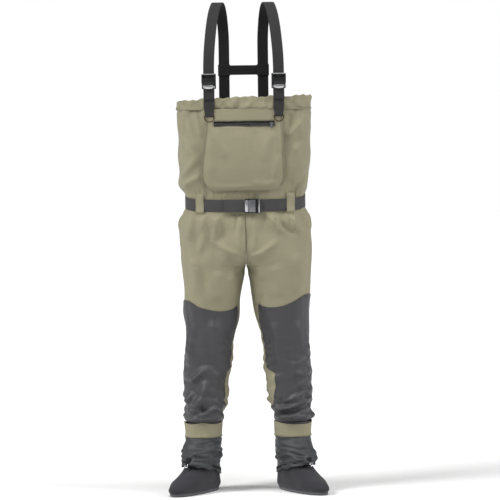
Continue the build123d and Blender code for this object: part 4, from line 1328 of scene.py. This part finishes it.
class WADERS_OT_buckles(Piece, bpy.types.Operator):
    """Makes the black plates, the silver lips and the silver bars of the cam buckles, and the tabs
    that hold the D-rings; the silver is a painted highlight on the edges that catch the light
    """
    bl_idname = "waders.buckles"
    bl_label = "Buckles"

    @staticmethod
    def slab(name, outline_points, depth, place, material, bevel=0.0006, levels=2):
        """Plate cut to an outline in X and Z, with rounded edges; place maps it to the world."""
        mesh = bpy.data.meshes.new(name)
        edit = bmesh.new()
        face = edit.faces.new([edit.verts.new((x, 0, z)) for x, z in outline_points])
        grown = bmesh.ops.extrude_face_region(edit, geom=[face])
        for v in [g for g in grown["geom"] if isinstance(g, bmesh.types.BMVert)]:
            v.co.y += depth
        bmesh.ops.recalc_face_normals(edit, faces=edit.faces)
        for v in edit.verts:
            v.co = Vector(place(*v.co)) * MM
        bmesh.ops.recalc_face_normals(edit, faces=edit.faces)
        edit.to_mesh(mesh)
        edit.free()
        piece = link(name, mesh, material)
        soft = piece.modifiers.new("Edges", "BEVEL")
        soft.width, soft.segments, soft.limit_method = bevel, levels, "ANGLE"
        mesh.shade_smooth()
        return piece

    @staticmethod
    def on_buckle(side, ahead, up):
        """Place function for a plate that far ahead of and above one side's buckle."""
        def place(x, y, z):
            spot = in_buckle(x, y - ahead, z + up)
            return side * spot[0], spot[1], spot[2]
        return place

    def build(self):
        for side, word in SIDES:
            plate = self.slab(f"lever_plate_{word}", PLATE, 0.6, self.on_buckle(side, 11.7, 0),
                              FINISHES["plastic"], 0.0003)
            finish(plate, (), f"cam_lever_{word}")
            # Silver lip: painted highlight where the lever's lower lip catches the light.
            lip = self.slab(f"lever_highlight_lip_{word}", LIP, 1.6, self.on_buckle(side, 12.6, -18.4),
                            FINISHES["metal"])
            finish(lip, (), f"cam_lever_{word}")
            # Silver bar on the frame's top edge: painted highlight on the lit edge.
            highlight_bar = self.slab(f"buckle_highlight_bar_{word}", BAR, 1.4, self.on_buckle(side, 8.6, 24.6),
                             FINISHES["metal"], 0.0005)
            finish(highlight_bar)
            self.tab(word, side)
        self.belt_trim()

    def tab(self, word, side):
        """Webbing tab folded round the buckle's bar above and the D-ring below."""
        ring_z = RING_Z - BUCKLE_Z

        def front_y(z):
            return TAB_Y - 1.7 - 0.9 * abs(sin((z - TAB_BAR_Z) / 30))

        def turned(z, angles):
            return [(TAB_Y + 3.1 * cos(angle), z + 3.1 * sin(angle)) for angle in angles]

        front = np.linspace(TAB_BAR_Z - 4, ring_z + 4, 26)
        loop = turned(TAB_BAR_Z, np.linspace(0, pi, 9)) + [(front_y(z), z) for z in front]
        loop += turned(ring_z, np.linspace(pi, tau, 9)) + [(TAB_Y + 1.0, z) for z in front[::-1]]
        path = np.array([in_buckle(0, y, z) for y, z in loop])
        level = np.array([z for _, z in loop])
        width = np.interp(level, [ring_z, ring_z + 34, TAB_BAR_Z], [28.5, 37, 38])
        across = facing((cos(BUCKLE_TURN), sin(BUCKLE_TURN), 0), len(path))
        piece = webbing(f"chest_tab_web_{word}", mirrored(path, side), mirrored(across, side),
                        width, 1.5, FINISHES["webbing"], closed=True)
        finish(piece, f"chest_tab_{word}")
        paths = []
        out = facing((sin(BUCKLE_TURN), -cos(BUCKLE_TURN), 0), 10)
        for z in (ring_z + 9, ring_z + 12, TAB_BAR_Z - 12):
            half = np.interp(z, [ring_z, ring_z + 34, TAB_BAR_Z], [12, 16, 16.5])
            line = [in_buckle(x, front_y(z) - 0.7, z) for x in np.linspace(-half, half, 10)]
            paths.append((mirrored(line, side), mirrored(out, side)))
        stitches(f"tab_stitches_{word}", paths, 0.3, FINISHES["dark_thread"])

    def belt_trim(self):
        """Bright lip and grey plate on the belt's lever, and the thin bright bar across its frame;
        the lip's and the bar's silver is a painted highlight on edges that catch the light.
        """
        lever, lever_high = box_mm("belt_buckle_lever")
        frame_low, frame_high = box_mm("belt_buckle_frame")
        middle = (lever[2] + lever_high[2]) / 2

        def from_corner(x, y):
            return lambda along, out, up: (x + along, y + out, middle + up)

        # Silver lip: painted highlight on the lever's lit edge.
        lip = self.slab("belt_lever_lip", BELT_LIP, 1.8,
                        from_corner(lever[0] + 5.4, lever[1] - 1.3), FINISHES["metal"])
        finish(lip, (), "belt_lever")
        plate = self.slab("belt_lever_plate", BELT_PLATE, 0.65,
                          from_corner(lever[0] + 13.8, lever[1] - 0.3), FINISHES["grey_metal"],
                          0.0003)
        finish(plate, (), "belt_lever")
        # Silver bar across the frame: painted highlight on its lit edge.
        highlight_bar = self.slab("belt_buckle_bar", BELT_BAR, 1.2,
                         from_corner(frame_high[0] - 3.6, frame_low[1] - 0.9), FINISHES["metal"],
                         0.0004)
        finish(highlight_bar)


# Depth at which the belt meets its buckle, and x of the side carriers.
BELT_BUCKLE_Y, CARRIER_X = -112.5, 155


class WADERS_OT_belt(Piece, bpy.types.Operator):
    """Makes the wading belt with its tail, and the loops that carry it"""
    bl_idname = "waders.belt"
    bl_label = "Belt"

    def build(self):
        width, thick = sizes().belt / MM, sizes().belt_thick / MM
        low, high = box_mm("belt_buckle_frame")
        plate, bar_x = high[1] - 2.0, (low[0] + high[0]) / 2 - 24.7
        front = belt_z(BELT_BUCKLE_Y)
        slide = plate - 0.3 - thick / 2
        ring = []
        for s in np.linspace(0.048, 0.988, 230):
            z = BELT_MID
            for _ in range(3):
                spot, normal = TORSO_SURFACE.at(z, s)
                z = belt_z(spot[1])
            ring.append(spot + normal * (BELT_GAP + thick / 2 + 0.35 * sin(s * 90)))
        ring = np.array(ring)[::-1]
        tail_y = min(ring[0][1], slide) - 3.4
        path = [(bar_x + 1, plate + 3.2, front), (bar_x - 4, plate + 2.6, front)]
        path += [tuple(p) for p in ring]
        path += [(56, slide - 0.1, front), (46, slide, front), (30, slide, front),
                 (bar_x + 12, slide, front), (bar_x + 3, tail_y + 0.6, front),
                 (bar_x - 8, tail_y, front)]
        path += [(x, tail_y - 0.2 + 0.5 * sin(x / 13), front - 0.004 * (x + 8))
                 for x in range(-16, -73, -8)]
        path = curve_through(path, 420)
        piece = webbing("belt", path, facing((0, 0, 1), len(path)), width, thick, FINISHES["belt"])
        finish(piece, "belt_webbing")
        line = [path[-5] + np.array([0, -0.9, h]) for h in np.linspace(-18, 18, 14)]
        stitches("belt_tail_stitches", [(line, facing((0, -1, 0), len(line)))], 0.2,
                 FINISHES["dark_thread"])
        for name in ("right", "left", "back"):
            self.carrier(name, f"belt_carrier_{name}")

    @staticmethod
    def carrier(name, node):
        """Loop of shell cloth that stands over the belt, sewn to the waders above and below it."""
        low, high = box_mm(node)
        z = np.concatenate([[low[2]], np.linspace(low[2] + 2.5, high[2] - 2.5, 22), [high[2]]])
        out = np.interp(z, [low[2], low[2] + 3, low[2] + 9, high[2] - 9, high[2] - 3, high[2]],
                        [1.0, 3.5, 8.8, 8.8, 3.5, 1.0])
        half = 14.5
        turn = np.linspace(-half, half, 9)
        rows = []
        for h, lift in zip(z, out):
            centre = 0.5 if name == "back" else TORSO_SURFACE.front_share(h, CARRIER_X)
            share = centre + turn / TORSO_SURFACE.girth(h)
            spots, normals = TORSO_SURFACE.at(np.full(turn.shape, h), share)
            crown = lift + 0.6 * np.cos(turn / half * pi / 2) + 0.5 * sin(h / 9)
            rows.append(spots + normals * crown[:, None])
        side = -1 if name == "left" else 1
        piece = grid(f"belt_loop_{name}", mirrored(rows, side), FINISHES["shell"], thick=0.0014,
                     flip=name == "left")
        finish(piece, node)
        rows = np.array(rows)[1:-1]
        out = facing((0, 1 if name == "back" else -1, 0), len(rows))
        paths = [(mirrored(rows[:, column], side), out) for column in (1, 7)]
        stitches(f"belt_loop_stitches_{name}", paths, 0.2, FINISHES["thread"])


# Height of the lace hook's pivot, how far it stands off the gaiter's front, and the gaiter's slope.
HOOK_Z, HOOK_OUT, HOOK_SLOPE = 104, 4.6, radians(22)


class WADERS_OT_hooks(Piece, bpy.types.Operator):
    """Makes the tab that holds the lace hook on each gaiter"""
    bl_idname = "waders.hooks"
    bl_label = "Hook tabs"

    def build(self):
        ahead = np.array([sin(FOOT_YAW), -cos(FOOT_YAW), 0])
        side_way = np.array([cos(FOOT_YAW), sin(FOOT_YAW), 0])
        reach = np.interp(HOOK_Z, (92, 127), (114, 94)) + HOOK_OUT
        pivot = np.array([FOOT_X, FOOT_Y, HOOK_Z]) + ahead * reach
        up = np.array([0, 0, cos(HOOK_SLOPE)]) - ahead * sin(HOOK_SLOPE)
        out = ahead * cos(HOOK_SLOPE) + np.array([0, 0, sin(HOOK_SLOPE)])
        loop = [(2.25 * sin(a), -2.25 * cos(a)) for a in np.linspace(0.2, tau * 0.72, 14)]
        path = [pivot + out * o + up * u for o, u in loop]
        path += [pivot - out * (2.2 + 0.01 * h) + up * h for h in (5, 9, 13, 17, 21, 25)]
        width = np.concatenate([np.full(14, 7.0), [12, 15, 16, 16, 16, 15.4]])
        for side, word in SIDES:
            piece = webbing(f"hook_loop_{word}", mirrored(path, side),
                            mirrored(facing(side_way, len(path)), side), width, 1.3,
                            FINISHES["elastic"])
            finish(piece, f"hook_tab_{word}")


# Strength of the world as a light; the camera sees it at full white.
WORLD_LIGHT = 0.2
# Name, direction that the light comes from, strength, and angle that it seems to fill, in degrees.
LIGHTS = (
    ("Left box", (-0.88, -0.46, 0.86), 2.6, 24), ("Right box", (0.92, -0.30, 0.6), 1.5, 24),
    ("Top box", (0.1, -0.34, 1.0), 1.2, 30),
)
# The camera's place in metres, its downward tilt, turn and roll in degrees, and its focal length.
CAMERA_AT, CAMERA_DOWN, CAMERA_TURN, CAMERA_ROLL = (0, -8.5, 1.15), 2.047, -0.0974, -0.747
CAMERA_LENS, CAMERA_SENSOR = 174.9, 36.0


class WADERS_OT_stage(Piece, bpy.types.Operator):
    """Makes the floor, the soft studio lights, the world and the camera"""
    bl_idname = "waders.stage"
    bl_label = "Stage"

    def build(self):
        scene = bpy.context.scene
        rings = []
        for radius in (0.0, 1.0, 3.0, 8.0, 20.0, 45.0):
            rings.append([(radius * cos(a) / MM, radius * sin(a) / MM, 0)
                          for a in np.linspace(0, tau, 65)[:-1]])
        floor = grid("floor", rings, FINISHES["floor"], closed=True, smooth=0)
        mend(floor.data, 1e-6)
        floor.location.z = -0.0005
        world = bpy.data.worlds.new("Studio")
        world.use_nodes = True
        tree = world.node_tree
        seen = add(tree, "ShaderNodeLightPath").outputs["Is Camera Ray"]
        level = add(tree, "ShaderNodeMapRange",
                    {"Value": seen, "To Min": WORLD_LIGHT, "To Max": 1.0})
        back = tree.nodes["Background"]
        back.inputs["Color"].default_value = (1, 1, 1, 1)
        tree.links.new(level.outputs["Result"], back.inputs["Strength"])
        scene.world = world
        for name, spot, power, angle in LIGHTS:
            light = bpy.data.lights.new(name, "SUN")
            light.energy, light.angle = power, radians(angle)
            lamp = bpy.data.objects.new(name, light)
            lamp.rotation_euler = Vector(spot).to_track_quat("Z", "Y").to_euler()
            scene.collection.objects.link(lamp)
        lens = bpy.data.cameras.new("Camera")
        lens.lens, lens.sensor_width = CAMERA_LENS, CAMERA_SENSOR
        lens.clip_end = 200
        camera = bpy.data.objects.new("Camera", lens)
        aim = Euler((radians(90 - CAMERA_DOWN), 0, radians(CAMERA_TURN))).to_matrix().to_4x4()
        camera.matrix_world = (Matrix.Translation(CAMERA_AT) @ aim
                               @ Matrix.Rotation(radians(CAMERA_ROLL), 4, "Z"))
        scene.collection.objects.link(camera)
        scene.camera = camera
        scene.view_settings.view_transform = "Standard"


OPERATORS = (
    WADERS_OT_finishes, WADERS_OT_socks, WADERS_OT_trousers, WADERS_OT_overlays,
    WADERS_OT_gaiters, WADERS_OT_hooks, WADERS_OT_bib, WADERS_OT_hem, WADERS_OT_pocket,
    WADERS_OT_braces, WADERS_OT_buckles, WADERS_OT_belt, WADERS_OT_stage,
)


class WADERS_PT_panel(bpy.types.Panel):
    """Lists the waders' pieces, sizes and colours"""
    bl_idname = "WADERS_PT_panel"
    bl_label = "Chest waders"
    bl_space_type = "VIEW_3D"
    bl_region_type = "UI"
    bl_category = "Waders"

    def draw(self, context):
        for group in (context.scene.waders_sizes, context.scene.waders_colours):
            for key in group.__annotations__:
                self.layout.prop(group, key)
        for operator in OPERATORS:
            self.layout.operator(operator.bl_idname)


CLASSES = (WadersSizes, WadersColours, *OPERATORS, WADERS_PT_panel)


def register():
    for item in CLASSES:
        bpy.utils.register_class(item)
    bpy.types.Scene.waders_sizes = PointerProperty(type=WadersSizes)
    bpy.types.Scene.waders_colours = PointerProperty(type=WadersColours)


def unregister():
    del bpy.types.Scene.waders_sizes, bpy.types.Scene.waders_colours
    for item in reversed(CLASSES):
        bpy.utils.unregister_class(item)


def main():
    register()
    for operator in OPERATORS:
        group, name = operator.bl_idname.split(".")
        getattr(getattr(bpy.ops, group), name)()


if __name__ == "__main__":
    main()
